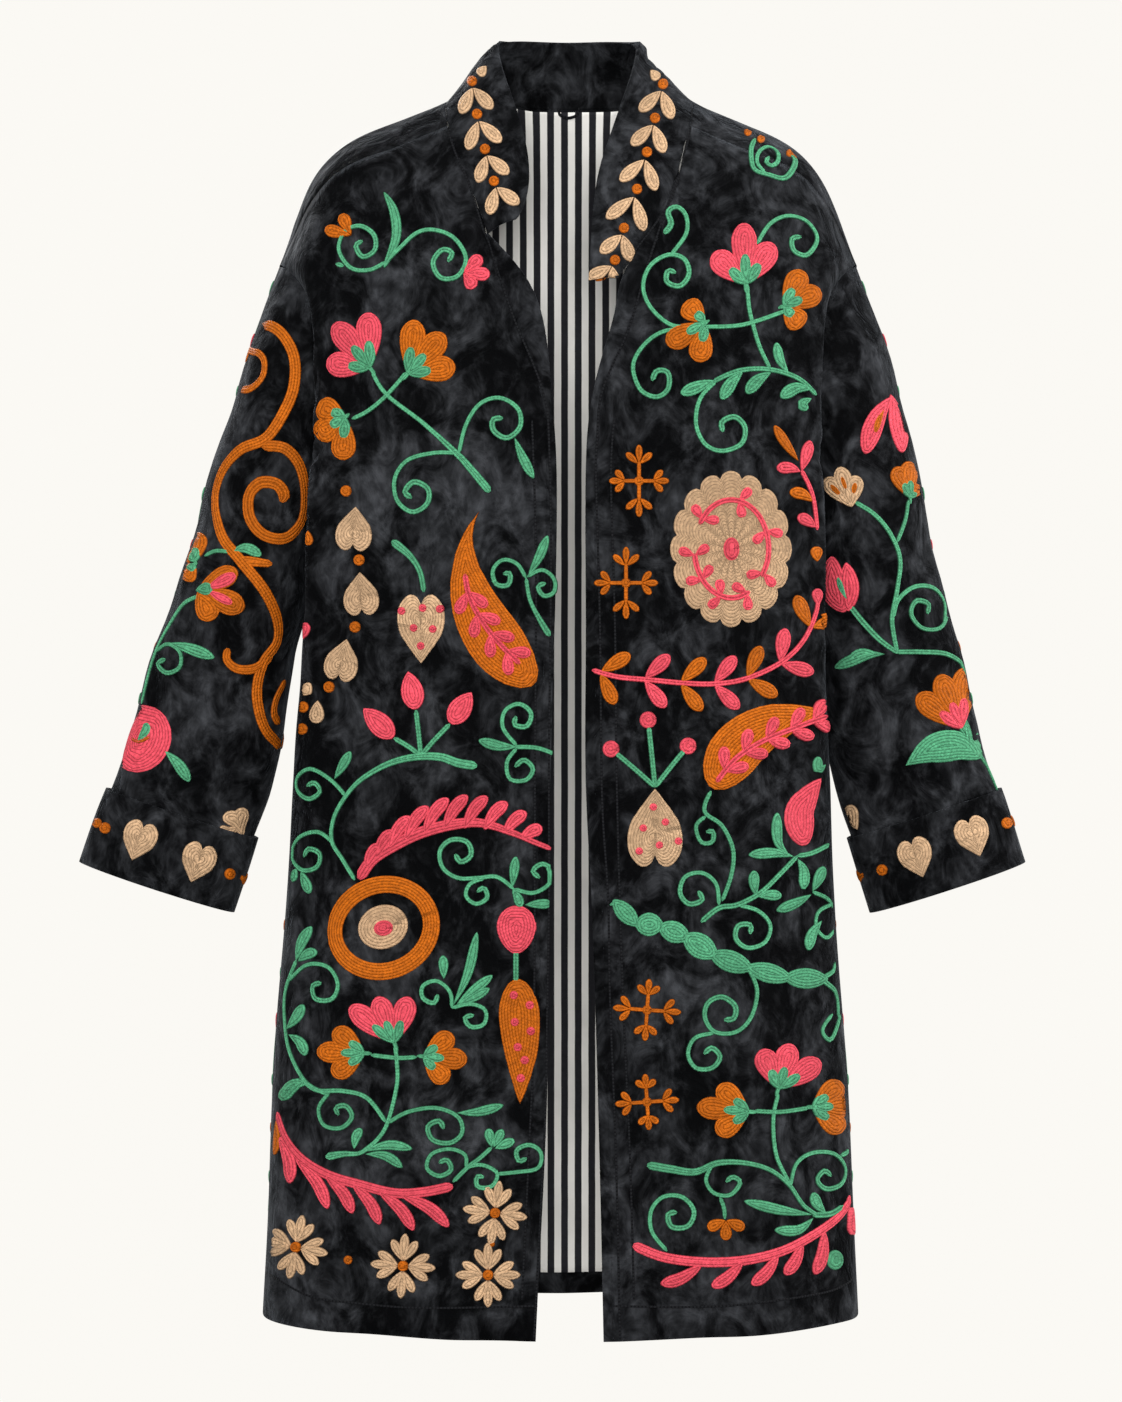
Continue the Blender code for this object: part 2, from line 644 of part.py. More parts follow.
for piece in pieces:
    if "lining" not in piece[0]:
        add_normals(np.array(piece[1], float).reshape(-1, 3), piece[2], groups[group_of(piece[0])])
for piece in pieces:
    own = group_of(piece[0])
    wall_solid(piece, groups[own], [group for name, group in groups.items() if name != own])
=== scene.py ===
"""Looks of an embroidered velvet coat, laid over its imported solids."""

import json
import math
import random

import bmesh
import bpy
import numpy as np
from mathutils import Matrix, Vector, noise
from mathutils.bvhtree import BVHTree

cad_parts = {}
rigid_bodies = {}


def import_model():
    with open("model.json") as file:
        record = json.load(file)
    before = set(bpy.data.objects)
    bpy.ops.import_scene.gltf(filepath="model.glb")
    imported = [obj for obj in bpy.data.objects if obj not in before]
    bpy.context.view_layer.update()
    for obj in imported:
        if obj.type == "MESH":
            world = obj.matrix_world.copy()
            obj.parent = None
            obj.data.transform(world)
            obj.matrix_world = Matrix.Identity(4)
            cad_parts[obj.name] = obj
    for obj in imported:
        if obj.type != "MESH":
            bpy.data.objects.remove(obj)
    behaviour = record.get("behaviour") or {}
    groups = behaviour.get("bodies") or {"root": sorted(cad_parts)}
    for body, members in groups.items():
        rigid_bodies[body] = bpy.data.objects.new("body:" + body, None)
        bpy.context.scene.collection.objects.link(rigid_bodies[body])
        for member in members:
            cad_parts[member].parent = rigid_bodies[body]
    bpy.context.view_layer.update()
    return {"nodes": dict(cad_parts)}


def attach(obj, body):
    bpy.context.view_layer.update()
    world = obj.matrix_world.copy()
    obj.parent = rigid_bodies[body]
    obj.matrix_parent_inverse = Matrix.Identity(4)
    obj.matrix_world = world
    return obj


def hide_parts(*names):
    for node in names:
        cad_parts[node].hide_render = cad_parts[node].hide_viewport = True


bl_info = {
    "name": "Embroidered velvet coat",
    "version": (1, 0, 0),
    "blender": (4, 5, 0),
    "location": "View3D > Sidebar > Coat",
    "description": "Velvet, striped lining and chain stitch embroidery for a long coat",
    "category": "Object",
}

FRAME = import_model()

# Camera: level and square to the coat's front. Places are pixels of the photograph,
# which is 1402 high; PIXEL is the size of one on the coat's front
EYE = Vector((-0.0065, -3.22, -0.5395))
FRONT_DISTANCE = 3.1
FOCAL_PIXELS = 3563.2
HIGH = 1402
MIDDLE = (561, 701)
PIXEL = 0.00087
SENSOR = 36.0

# The neck's middle line, and lines along each armhole and sleeve, as X from it and Z
NECK_X = 0.0065
ARMHOLE = ((0.232, -0.14), (0.258, -0.335))
SLEEVE = ((0.245, -0.18), (0.352, -0.70))

BODY = ["left_front", "right_front", "back_panel", "left_band", "right_band"]
SLEEVES = ["left_sleeve", "right_sleeve", "left_cuff", "right_cuff"]
LININGS = ["back_lining", "left_front_lining", "right_front_lining"]

# The pieces, made earlier, that each later one is sewn to; how wide the air in a seam
# is at most, and how far a rim is drawn over it
SEAM_AIR, SEAM_DRAW = 0.0008, 1.35
SEWN_TO = {
    "back_panel": ("left_front", "right_front"),
    "left_band": ("left_front",),
    "right_band": ("right_front",),
    "left_sleeve": ("left_front", "back_panel"),
    "right_sleeve": ("right_front", "back_panel"),
    "left_cuff": ("left_sleeve",),
    "right_cuff": ("right_sleeve",),
    "collar": ("left_front", "right_front", "back_panel", "left_band", "right_band"),
}


class CoatColours(bpy.types.PropertyGroup):
    """Colours of the cloth and threads."""

    velvet: bpy.props.FloatVectorProperty(
        name="Velvet", description="Deepest tone of the pile", subtype="COLOR",
        size=3, min=0, max=1, default=(0.0014, 0.0015, 0.0018))
    # Crushed pile: its paler tone is painted sheen where the pile lies flat
    crushed_sheen: bpy.props.FloatVectorProperty(
        name="Crushed pile", description="Tone where the pile lies flat", subtype="COLOR",
        size=3, min=0, max=1, default=(0.058, 0.061, 0.068))
    light_stripe: bpy.props.FloatVectorProperty(
        name="Light stripe", description="Pale stripe of the lining", subtype="COLOR",
        size=3, min=0, max=1, default=(0.95, 0.93, 0.88))
    dark_stripe: bpy.props.FloatVectorProperty(
        name="Dark stripe", description="Dark stripe of the lining", subtype="COLOR",
        size=3, min=0, max=1, default=(0.008, 0.008, 0.010))
    green: bpy.props.FloatVectorProperty(
        name="Green thread", description="Stems and scrolls", subtype="COLOR",
        size=3, min=0, max=1, default=(0.098, 0.40, 0.205))
    pink: bpy.props.FloatVectorProperty(
        name="Pink thread", description="Petals and feather sprays", subtype="COLOR",
        size=3, min=0, max=1, default=(0.92, 0.090, 0.130))
    orange: bpy.props.FloatVectorProperty(
        name="Orange thread", description="Petals, stars and thick scrolls", subtype="COLOR",
        size=3, min=0, max=1, default=(0.60, 0.138, 0.006))
    beige: bpy.props.FloatVectorProperty(
        name="Beige thread", description="Hearts, leaves and flowers", subtype="COLOR",
        size=3, min=0, max=1, default=(0.70, 0.45, 0.26))


class CoatSizes(bpy.types.PropertyGroup):
    """Sizes of what lies on the coat."""

    crease: bpy.props.FloatProperty(
        name="Crease", description="Height of the soft creases in the cloth",
        default=0.0043, min=0, max=0.006, unit="LENGTH")
    stem: bpy.props.FloatProperty(
        name="Stem", description="Width of an embroidered stem",
        default=0.0046, min=0.002, max=0.012, unit="LENGTH")
    relief: bpy.props.FloatProperty(
        name="Relief", description="Height of the embroidery above the velvet",
        default=0.0013, min=0.0003, max=0.003, unit="LENGTH")
    chain_row: bpy.props.FloatProperty(
        name="Chain row", description="Distance between rows of chain stitch",
        default=0.0027, min=0.001, max=0.004, unit="LENGTH")
    stripe: bpy.props.FloatProperty(
        name="Stripe", description="One dark and one light stripe of the lining",
        default=0.0128, min=0.004, max=0.04, unit="LENGTH")


class Value:
    """A number in a material, so that sums on it read as sums."""

    def __init__(self, shader, socket):
        self.shader, self.socket = shader, socket

    def _with(self, kind, *others):
        return self.shader.node("ShaderNodeMath", "Value", {"operation": kind}, {
            i: other for i, other in enumerate((self, *others))})

    def __add__(self, other):
        return self._with("ADD", other)

    def __sub__(self, other):
        return self._with("SUBTRACT", other)

    def __mul__(self, other):
        return self._with("MULTIPLY", other)

    def __truediv__(self, other):
        return self._with("DIVIDE", other)

    def __rsub__(self, other):
        return (self * -1.0) + other

    def __abs__(self):
        return self._with("ABSOLUTE")

    __radd__, __rmul__ = __add__, __mul__

    def wave(self):
        return self._with("SINE")

    def part(self):
        return self._with("FRACT")

    def ramp(self, low, high, to_low=0.0, to_high=1.0):
        return self.shader.node("ShaderNodeMapRange", "Result",
                                {"interpolation_type": "SMOOTHSTEP"},
                                {"Value": self, "From Min": low, "From Max": high,
                                 "To Min": to_low, "To Max": to_high})


class Shader:
    """A material under way."""

    def __init__(self, name):
        self.material = bpy.data.materials.new(name)
        self.material.use_nodes = True
        self.tree = self.material.node_tree
        self.surface = self.tree.nodes["Principled BSDF"]

    def put(self, socket, what):
        if isinstance(what, Value):
            self.tree.links.new(what.socket, socket)
        elif what is not None:
            if hasattr(socket.default_value, "__len__") and len(socket.default_value) == 4:
                what = (*what[:3], 1.0)
            socket.default_value = what

    def node(self, kind, out, settings=None, inputs=None):
        made = self.tree.nodes.new(kind)
        for key, what in (settings or {}).items():
            setattr(made, key, what)
        for key, what in (inputs or {}).items():
            self.put(made.inputs[key], what)
        return Value(self, made.outputs[out])

    def place(self):
        return self.node("ShaderNodeTexCoord", "Object")

    def stretched(self, x, y, z):
        return self.node("ShaderNodeMapping", "Vector", None,
                         {"Vector": self.place(), "Scale": (x, y, z)})

    def cloud(self, scale, detail=2.0, distortion=0.0, where=None, rough=0.5):
        return self.node("ShaderNodeTexNoise", "Fac", None, {
            "Vector": where or self.place(), "Scale": scale, "Detail": detail,
            "Distortion": distortion, "Roughness": rough})

    def apart(self, where):
        made = self.tree.nodes.new("ShaderNodeSeparateXYZ")
        self.put(made.inputs[0], where)
        return [Value(self, made.outputs[i]) for i in range(3)]

    def stored(self, name):
        made = self.tree.nodes.new("ShaderNodeAttribute")
        made.attribute_name = name
        return Value(self, made.outputs["Vector"])

    def blend(self, amount, first, second):
        made = self.tree.nodes.new("ShaderNodeMix")
        made.data_type = "RGBA"
        self.put(made.inputs[0], amount)
        self.put(made.inputs[6], first)
        self.put(made.inputs[7], second)
        return Value(self, made.outputs[2])

    def bump(self, height, strength, depth, under=None):
        return self.node("ShaderNodeBump", "Normal", None, {
            "Height": height, "Strength": strength, "Distance": depth, "Normal": under})

    def finish(self, **inputs):
        for key, what in inputs.items():
            self.put(self.surface.inputs[key.replace("_", " ")], what)
        return self.material


def times(colour, factor):
    return tuple(min(1.0, part * factor) for part in colour[:3])


def colours():
    return bpy.context.scene.coat_colours


def sizes():
    return bpy.context.scene.coat_sizes


def velvet():
    """Crushed black velvet: dark pile with pale, flattened patches, whose paleness is painted
    sheen in the base colour.
    """
    if "black_velvet" in bpy.data.materials:
        return bpy.data.materials["black_velvet"]
    s = Shader("black_velvet")
    drape = s.cloud(7.0, 2.0, 1.6, s.stretched(1.0, 1.0, 0.5))
    patches = s.cloud(32.0, 4.0, 0.8, s.stretched(1.0, 1.0, 0.80), 0.64)
    streaks = s.cloud(110.0, 3.0, 0.3, s.stretched(1.0, 1.0, 0.70))
    pile = s.cloud(1500.0, 1.0)
    # Where the pile lies flat, in patches and along the drape's large folds, the roughness drops
    # and the base colour pales as painted sheen
    flat = (patches + (drape - 0.5) * 0.45).ramp(0.38, 0.78) * streaks.ramp(0.25, 0.75, 0.35)
    tone = flat * 0.90 + streaks.ramp(0.45, 0.80) * 0.10 + (pile - 0.5) * 0.09
    under = s.bump(drape, 0.5, 0.030)
    under = s.bump(patches, 0.55, 0.010, under)
    under = s.bump(streaks, 0.35, 0.0030, under)
    return s.finish(
        Base_Color=s.blend(tone, colours().velvet, colours().crushed_sheen),
        Roughness=flat * -0.20 + 0.82,
        Sheen_Weight=0.075, Sheen_Roughness=0.32, Sheen_Tint=(0.80, 0.88, 1.0),
        Normal=s.bump(pile, 0.5, 0.0006, under),
        Specular_IOR_Level=0.03)


def striped_cotton():
    """Woven lining with upright dark and pale stripes."""
    if "striped_cotton" in bpy.data.materials:
        return bpy.data.materials["striped_cotton"]
    s = Shader("striped_cotton")
    across, up, _ = s.apart(s.stored("cloth"))
    turn = 2 * math.pi / sizes().stripe
    pale = ((across + (s.cloud(30.0) - 0.5) * 0.0006) * turn).wave().ramp(-0.16, 0.16)
    thread_up, thread_over = (across * 6500.0).wave(), (up * 5200.0).wave()
    weave = thread_up * thread_over
    dirt = s.cloud(18.0, 4.0)
    light = s.blend(dirt.ramp(0.40, 0.80), colours().light_stripe,
                    times(colours().light_stripe, 0.84))
    dark = s.blend(s.cloud(260.0), colours().dark_stripe, times(colours().dark_stripe, 2.6))
    return s.finish(
        Base_Color=s.blend(pale, dark, light),
        Roughness=pale * 0.14 + 0.62,
        Normal=s.bump(weave, 0.35, 0.0002, s.bump(s.cloud(40.0, 2.0), 0.3, 0.003)),
        Specular_IOR_Level=0.12)


def thread(name, colour):
    """Chain stitch in cotton thread, in rows that follow each shape's outline, with painted shade
    between the rows and a painted shadow along the outline.
    """
    if name in bpy.data.materials:
        return bpy.data.materials[name]
    s = Shader(name)
    along, inward, shade = s.apart(s.stored("stitch"))
    row = inward / sizes().chain_row
    within = row.part()
    off_row = abs(within - 0.5) * 2.0
    step = along / (sizes().chain_row * 1.15) + (row - within) * 0.37 + off_row * 0.45
    link = abs((step * math.pi).wave())
    round_row = 1.0 - off_row * off_row
    height = round_row * 0.72 + link * 0.28
    worn = s.cloud(320.0, 3.0, 0.4)
    # Painted shadow: within about a millimetre of the outline the colour darkens to a tenth
    edge = inward.ramp(0.0, 0.0011)
    lit = s.blend(worn.ramp(0.30, 0.75), times(colour, 0.70), times(colour, 1.16))
    # Painted shade: the low places between rows and links darken to 0.30 of the colour
    deep = s.blend(height.ramp(0.05, 0.55), times(colour, 0.30), lit)
    aged = s.blend(shade.ramp(0.0, 1.0, 0.0, 0.30), deep, times(colour, 0.40))
    return s.finish(
        Base_Color=s.blend(edge, times(colour, 0.10), aged),
        Roughness=height * -0.18 + 0.74,
        Normal=s.bump(height, 0.9, 0.0012, s.bump(s.cloud(2200.0), 0.25, 0.0003)),
        Specular_IOR_Level=0.10)


def seam_thread():
    if "seam_thread" in bpy.data.materials:
        return bpy.data.materials["seam_thread"]
    s = Shader("seam_thread")
    along, inward, _ = s.apart(s.stored("stitch"))
    stitch = abs((along * (math.pi / 0.0032)).wave())
    return s.finish(
        Base_Color=s.blend(stitch.ramp(0.15, 0.7), (0.003, 0.003, 0.004),
                           times(colours().velvet, 5.0)),
        Roughness=stitch * -0.2 + 0.8, Specular_IOR_Level=0.10,
        Normal=s.bump(stitch, 0.6, 0.0006))


# The cloth over its solids

def smooth(value, low, high):
    t = min(1.0, max(0.0, (value - low) / (high - low)))
    return t * t * (3 - 2 * t)


def to_segment(x, z, a, b):
    """(distance from a line in the XZ plane, how far along it)"""
    run = (b[0] - a[0], b[1] - a[1])
    t = ((x - a[0]) * run[0] + (z - a[1]) * run[1]) / (run[0] ** 2 + run[1] ** 2)
    t = min(1.0, max(0.0, t))
    return math.hypot(x - a[0] - run[0] * t, z - a[1] - run[1] * t), t


def settle(co, on_sleeve, size):
    """How far the cloth lies from its made form here; the same for every layer."""
    side = -1 if co.x < 0 else 1
    armhole, _ = to_segment(abs(co.x), co.z, *ARMHOLE)
    calm = smooth(armhole, 0.004, 0.075) * smooth(math.hypot(co.x, co.z + 0.04), 0.15, 0.25)
    if on_sleeve:
        _, t = to_segment(abs(co.x), co.z, *SLEEVE)
        axis = Vector((side * (0.245 + 0.107 * t), 0, -0.18 - 0.52 * t))
        out = (co - axis)
        out.z = 0
        out.normalize()
        slant = co.z + 0.5 * side * (co.x - axis.x) + 0.35 * co.y
        ring = noise.noise(Vector((slant * 17, side * 3.1 + co.y * 2.5, co.x * 3)))
        lump = noise.noise(Vector((co.x * 9, co.y * 9 + 7, co.z * 7)))
        calm *= 1 - 0.85 * smooth(t, 0.80, 0.93)
        return out * (size * calm * (1.25 * ring + 0.7 * lump))
    out = Vector((co.x / 0.073, co.y / 0.0150, 0)).normalized()
    low = smooth(-co.z, 0.45, 1.0)
    flute = math.sin(co.x * 46 + 2.2 * noise.noise(Vector((co.x * 3, co.y * 3, co.z * 1.4))))
    lump = noise.noise(Vector((co.x * 7, co.y * 7 + 3, co.z * 5.5)))
    pull = noise.noise(Vector((co.x * 8 + 9, co.y * 4, co.z * 24)))
    waist = 1 - smooth(abs(co.z + 0.42), 0.05, 0.30)
    return out * (size * calm * (0.42 * low * flute + 0.62 * lump + 0.45 * waist * pull))


def filled_out(co):
    """How far the shoulders and the roll of the collar stand out from their made form."""
    side = co.x - NECK_X
    away = smooth(abs(side), 0.035, 0.075)
    lift = away * smooth(co.z, -0.20, -0.04) * (0.0050 + 0.0030 * smooth(abs(side), 0.15, 0.21))
    roll = math.exp(-((abs(side) - 0.080) / 0.032) ** 2 - ((co.z - 0.038) / 0.045) ** 2)
    roll *= 0.88 if side < 0 else 1.30
    level = 1 - smooth(co.z, 0.045, 0.064)
    return Vector((math.copysign(0.0085 * roll, side), 0, level * (lift + 0.0040 * roll)))


def shown(name, data):
    """A new object in the scene."""
    made = bpy.data.objects.new(name, data)
    bpy.context.scene.collection.objects.link(made)
    return made


def smoothed(node):
    """A copy of a CAD node's mesh, merged, quartered and rounded, rims kept."""
    bm = bmesh.new()
    bm.from_mesh(FRAME["nodes"][node].data)
    bmesh.ops.remove_doubles(bm, verts=bm.verts, dist=0.00002)
    bmesh.ops.join_triangles(bm, faces=bm.faces, angle_face_threshold=0.6,
                             angle_shape_threshold=0.9)
    crease = bm.edges.layers.float.new("crease_edge")
    for edge in bm.edges:
        if len(edge.link_faces) == 2 and edge.calc_face_angle(0) > 0.9:
            edge[crease] = 1.0
    mesh = bpy.data.meshes.new(node + "_smoothed")
    bm.to_mesh(mesh)
    bm.free()
    held = shown(node + "_smoothed", mesh)
    rounder = held.modifiers.new("Subdivision", "SUBSURF")
    rounder.levels = rounder.render_levels = 2
    seen = held.evaluated_get(bpy.context.evaluated_depsgraph_get())
    made = bpy.data.meshes.new_from_object(seen)
    bpy.data.objects.remove(held)
    bpy.data.meshes.remove(mesh)
    return made


def new_piece(name, mesh, materials):
    mesh.name = name
    for material in materials:
        mesh.materials.append(material)
    piece = shown(name, mesh)
    mesh.shade_smooth()
    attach(piece, "root")
    return piece


def sewn_up(mesh, node):
    """Draws the rims of a piece over its narrow seams, up to the pieces it is sewn to."""
    for other in SEWN_TO.get(node, ()):
        near = bpy.data.objects[other + "_cloth"].data
        tree = BVHTree.FromPolygons([v.co for v in near.vertices],
                                    [list(p.vertices) for p in near.polygons])
        for vert in mesh.vertices:
            found, _, _, _ = tree.find_nearest(vert.co, SEAM_AIR)
            if found is not None:
                vert.co += (found - vert.co) * SEAM_DRAW


def cloth_piece(node, material):
    """One cut piece of cloth in place of its CAD node."""
    mesh = smoothed(node)
    size = sizes().crease
    where = mesh.attributes.new("cloth", "FLOAT_VECTOR", "POINT")
    for vert in mesh.vertices:
        co = vert.co
        turned = smooth(abs(co.x), 0.19, 0.26)
        depth = 0.125 - abs(co.y)
        across = abs(co.x) + turned * depth
        where.data[vert.index].vector = (math.copysign(across, co.x), co.z, 0)
        moved = filled_out(co)
        if node != "collar":
            moved += settle(co.copy(), node in SLEEVES, size)
        vert.co = co + moved
    sewn_up(mesh, node)
    mesh.materials.clear()
    piece = new_piece(node + "_cloth", mesh, [material])
    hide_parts(node)
    return piece


# The embroidery

# Threads, as the order of a piece's materials
GREEN, PINK, ORANGE, BEIGE, SEAM = range(5)

# Sides that embroidery is laid from; cloth turned further from one than STEEPEST is
# reached along the cloth, from a place no further than NEARBY, and cloth beyond
# FAR_SIDE is on the other side of the coat
STEEPEST, NEARBY, FAR_SIDE = 0.42, 60, -0.01
FRONT, BACK = Vector((0, -1, 0)), Vector((0, 1, 0))
LEFT, RIGHT = Vector((-1, 0, 0)), Vector((1, 0, 0))


class Ground:
    """The cloth that some embroidery lies on, as seen from one side.

    Places on it are pixels of the photograph. From the back they count as if seen
    through the coat, and from the left or right their first number counts along Y."""

    def __init__(self, pieces, out=FRONT, inside=False):
        corners, faces = [], []
        self.inside, self.last = inside, None
        for piece in pieces:
            mesh = bpy.data.objects[piece + "_cloth"].data
            start = len(corners)
            corners += [v.co.copy() for v in mesh.vertices]
            faces += [[start + i for i in p.vertices] for p in mesh.polygons]
        self.tree, self.out = BVHTree.FromPolygons(corners, faces), out
        self.bm = bmesh.new()
        self.stitch = self.bm.verts.layers.float_vector.new("stitch")
        self.random = random.Random(7)

    def spot(self, at, base=None):
        """(photograph's place, point, normal) on the cloth; past its edge, on round it."""
        x, y = at
        way = Vector(((x - MIDDLE[0]) / FOCAL_PIXELS, 1, (MIDDLE[1] - y) / FOCAL_PIXELS))
        seen = EYE + way * FRONT_DISTANCE
        if self.out == FRONT:
            co, no, _, _ = self.tree.ray_cast(EYE, way.normalized())
        else:
            if self.out.x:
                seen.y = seen.x
            seen = self.out * 0.6 + seen - self.out * seen.dot(self.out)
            co, no, _, _ = self.tree.ray_cast(seen, -self.out)
        if co is not None and co.dot(self.out) < FAR_SIDE and not self.inside:
            co = None
        if co is not None and no.dot(self.out) > STEEPEST:
            self.last = (at, co, no)
            return self.last
        if base is None and self.last and math.dist(self.last[0], at) < NEARBY:
            base = self.last
        if base is None:
            if co is None:
                co, no, _, _ = self.tree.find_nearest(
                    seen - self.out * (seen.dot(self.out) - 0.03))
            return (at, co, no)
        (x0, y0), co, no = base
        level = RIGHT if self.out.y else BACK
        across = level - no * level.dot(no)
        if across.length < 0.3:
            across = no.cross(level.cross(self.out))
        across.normalize()
        down = Vector((0, 0, -1))
        down = (down - no * down.dot(no)).normalized()
        guess = co + (across * (x - x0) + down * (y - y0)) * PIXEL
        found, normal, _, _ = self.tree.find_nearest(guess)
        if normal.dot(no) < 0:
            normal = no
        return (at, found, normal)

    def lay(self, along, across, place, colour):
        """A grid whose corners go where place(u, v) says, as (point, stitch)."""
        made = bmesh.ops.create_grid(self.bm, x_segments=along, y_segments=across, size=1.0)
        shade = self.random.random()
        for vert in made["verts"]:
            point, run, inward = place(vert.co.x * 0.5 + 0.5, vert.co.y)
            vert.co = point
            vert[self.stitch] = (run, inward, shade)
        faces = list({f: 0 for v in made["verts"] for f in v.link_faces})
        total = Vector()
        for face in faces:
            face.normal_update()
            total += face.normal * face.calc_area()
        if total.dot(self.facing) < 0:
            bmesh.ops.reverse_faces(self.bm, faces=faces)
        for face in faces:
            face.material_index = colour

    def line(self, colour, points, wide=None, closed=False, high=1.0):
        """A stem: two rows of chain stitch along a smooth path, with a width at each end."""
        wide = wide or sizes().stem / PIXEL
        first, last = wide if isinstance(wide, tuple) else (wide, wide)
        wide = max(first, last)
        path = smooth_path(points, closed, 3.2)
        base, spots = None, []
        for at in path:
            base = self.spot(at, base)
            spots.append(base)
        count = len(spots)
        runs = [0.0]
        for a, b in zip(spots, spots[1:]):
            runs.append(runs[-1] + (b[1] - a[1]).length)
        self.facing = sum((s[2] for s in spots), Vector())
        thick = wide * PIXEL > 0.0066
        crown = sizes().relief * high

        def place(u, v):
            i = min(count - 1, round(u * (count - 1)))
            before = spots[i - 1 if closed or i else 0][1]
            after = spots[(i + 1) % count if closed else min(i + 1, count - 1)][1]
            if closed and i in (0, count - 1):
                before, after = spots[-2][1], spots[1][1]
            _, co, no = spots[i]
            side = no.cross(after - before).normalized()
            half = (first + (last - first) * smooth(u, 0.35, 1.0)) * PIXEL * 0.5
            to_end = min(runs[i], runs[-1] - runs[i])
            end = 1.0 if closed else min(1.0, 0.35 + to_end / (half * 1.2))
            v = math.copysign(1 - (1 - abs(v)) ** 1.25, v)
            edge = 1 - abs(v)
            lift = -0.3 + 1.3 * min(1.0, edge * 3.2) ** 0.6
            if not thick:
                lift -= 0.32 * max(0.0, 1 - abs(v) * 2.6)
            point = co + side * (v * half * end) + no * (lift * crown * (0.55 + 0.45 * end))
            return point, runs[i], edge * half
        self.lay(count - 1, 6, place, colour)

    def leaf(self, colour, axis, wide, tip=0.66, root=0.8, crown=0.5, high=1.0):
        """A filled leaf, petal or bud from its foot on; tip is where it is widest.

        root and crown shape its two ends: under 0.6 is round, over 1 is drawn out."""
        path = smooth_path(axis, False, None, 61)
        base = self.spot(path[30])
        self.facing = base[2]
        length = sum(math.dist(a, b) for a, b in zip(path, path[1:])) * PIXEL
        tall = sizes().relief * high

        def place(u, v):
            u = 0.5 - 0.5 * math.cos(math.pi * u)
            i = round(u * 60)
            before, after = path[max(0, i - 3)], path[min(60, i + 3)]
            run = math.dist(before, after) or 1.0
            aside = (-(after[1] - before[1]) / run, (after[0] - before[0]) / run)
            if u < tip:
                full = max(0.0, math.sin(math.pi / 2 * u / tip)) ** root
            else:
                full = max(0.0, math.cos(math.pi / 2 * (u - tip) / (1 - tip))) ** crown
            half = 0.5 * wide * full
            v = math.copysign(1 - (1 - abs(v)) ** 1.5, v)
            at = (path[i][0] + aside[0] * half * v, path[i][1] + aside[1] * half * v)
            _, co, no = self.spot(at, base)
            inward = min((1 - abs(v)) * half * PIXEL, min(u, 1 - u) * length)
            return co + no * (tall * rise(inward)), u * length, inward
        self.lay(15 if length < 0.05 else 24, 8, place, colour)

    def shape(self, colour, centre, wide, tall, outline=None, turn=0.0, steps=32, high=1.0,
              rings=5):
        """A filled shape about a centre; outline(angle) gives its reach, 1 for an oval."""
        base = self.spot(centre)
        self.facing = base[2]
        crown = sizes().relief * high
        turn = math.radians(turn)

        def place(u, v):
            angle = u * 2 * math.pi
            ring = v * 0.5 + 0.5
            ring = 1 - (1 - ring) ** 1.35
            reach = outline(angle) if outline else 1.0
            x, y = reach * math.cos(angle) * wide / 2, reach * math.sin(angle) * tall / 2
            far = math.hypot(x, y) * PIXEL
            x, y = x * ring, y * ring
            at = (centre[0] + x * math.cos(turn) - y * math.sin(turn),
                  centre[1] + x * math.sin(turn) + y * math.cos(turn))
            _, co, no = self.spot(at, base)
            inward = (1 - ring) * far * 0.9
            return co + no * (crown * rise(inward)), angle * far * max(ring, 0.3), inward
        self.lay(steps, rings, place, colour)

    def finish(self, name, slot="velvet"):
        bmesh.ops.remove_doubles(self.bm, verts=self.bm.verts, dist=0.00001)
        mesh = bpy.data.meshes.new(name)
        self.bm.to_mesh(mesh)
        self.bm.free()
        c = colours()
        return new_piece(name, mesh, [
            thread("green_thread", c.green), thread("pink_thread", c.pink),
            thread("orange_thread", c.orange), thread("beige_thread", c.beige),
            seam_thread()])


def rise(inward):
    """Height of filled stitching at this distance from its edge, 1 at full relief."""
    return -0.3 + 1.3 * (1 - math.exp(-inward / 0.0007)) + min(0.35, inward / 0.02)


def smooth_path(points, closed, step, count=None):
    """Points along a smooth curve through these."""
    points = [tuple(map(float, p)) for p in points]
    if closed:
        points = points + [points[0]]
    dense = []
    last = len(points) - 1
    for i in range(last):
        a = points[i - 1] if i else (points[-2] if closed else points[0])
        b, c = points[i], points[i + 1]
        d = points[i + 2] if i + 2 <= last else (points[1] if closed else points[-1])
        for k in range(12):
            t = k / 12
            dense.append(tuple(
                0.5 * (2 * b[j] + (c[j] - a[j]) * t
                       + (2 * a[j] - 5 * b[j] + 4 * c[j] - d[j]) * t * t
                       + (3 * b[j] - a[j] - 3 * c[j] + d[j]) * t ** 3) for j in (0, 1)))
    dense.append(points[-1])
    runs = np.concatenate([[0.0], np.cumsum([math.dist(a, b) for a, b in zip(dense, dense[1:])])])
    if count is None:
        count = max(4, round(runs[-1] / step) + 1)
    even = np.linspace(0, runs[-1], count)
    xs = np.interp(even, runs, [p[0] for p in dense])
    ys = np.interp(even, runs, [p[1] for p in dense])
    return list(zip(xs, ys))


# Outlines, as the reach at an angle from the shape's right side, turning down

def heart(angle):
    """Point upwards, two round lobes below."""
    a = math.atan2(math.sin(angle + math.pi / 2), math.cos(angle + math.pi / 2))
    return float(np.interp(abs(a) / math.pi, (0, 0.07, 0.16, 0.3, 0.5, 0.7, 0.85, 0.94, 1),
                           (1.0, 0.84, 0.73, 0.70, 0.82, 0.98, 1.0, 0.88, 0.62)))


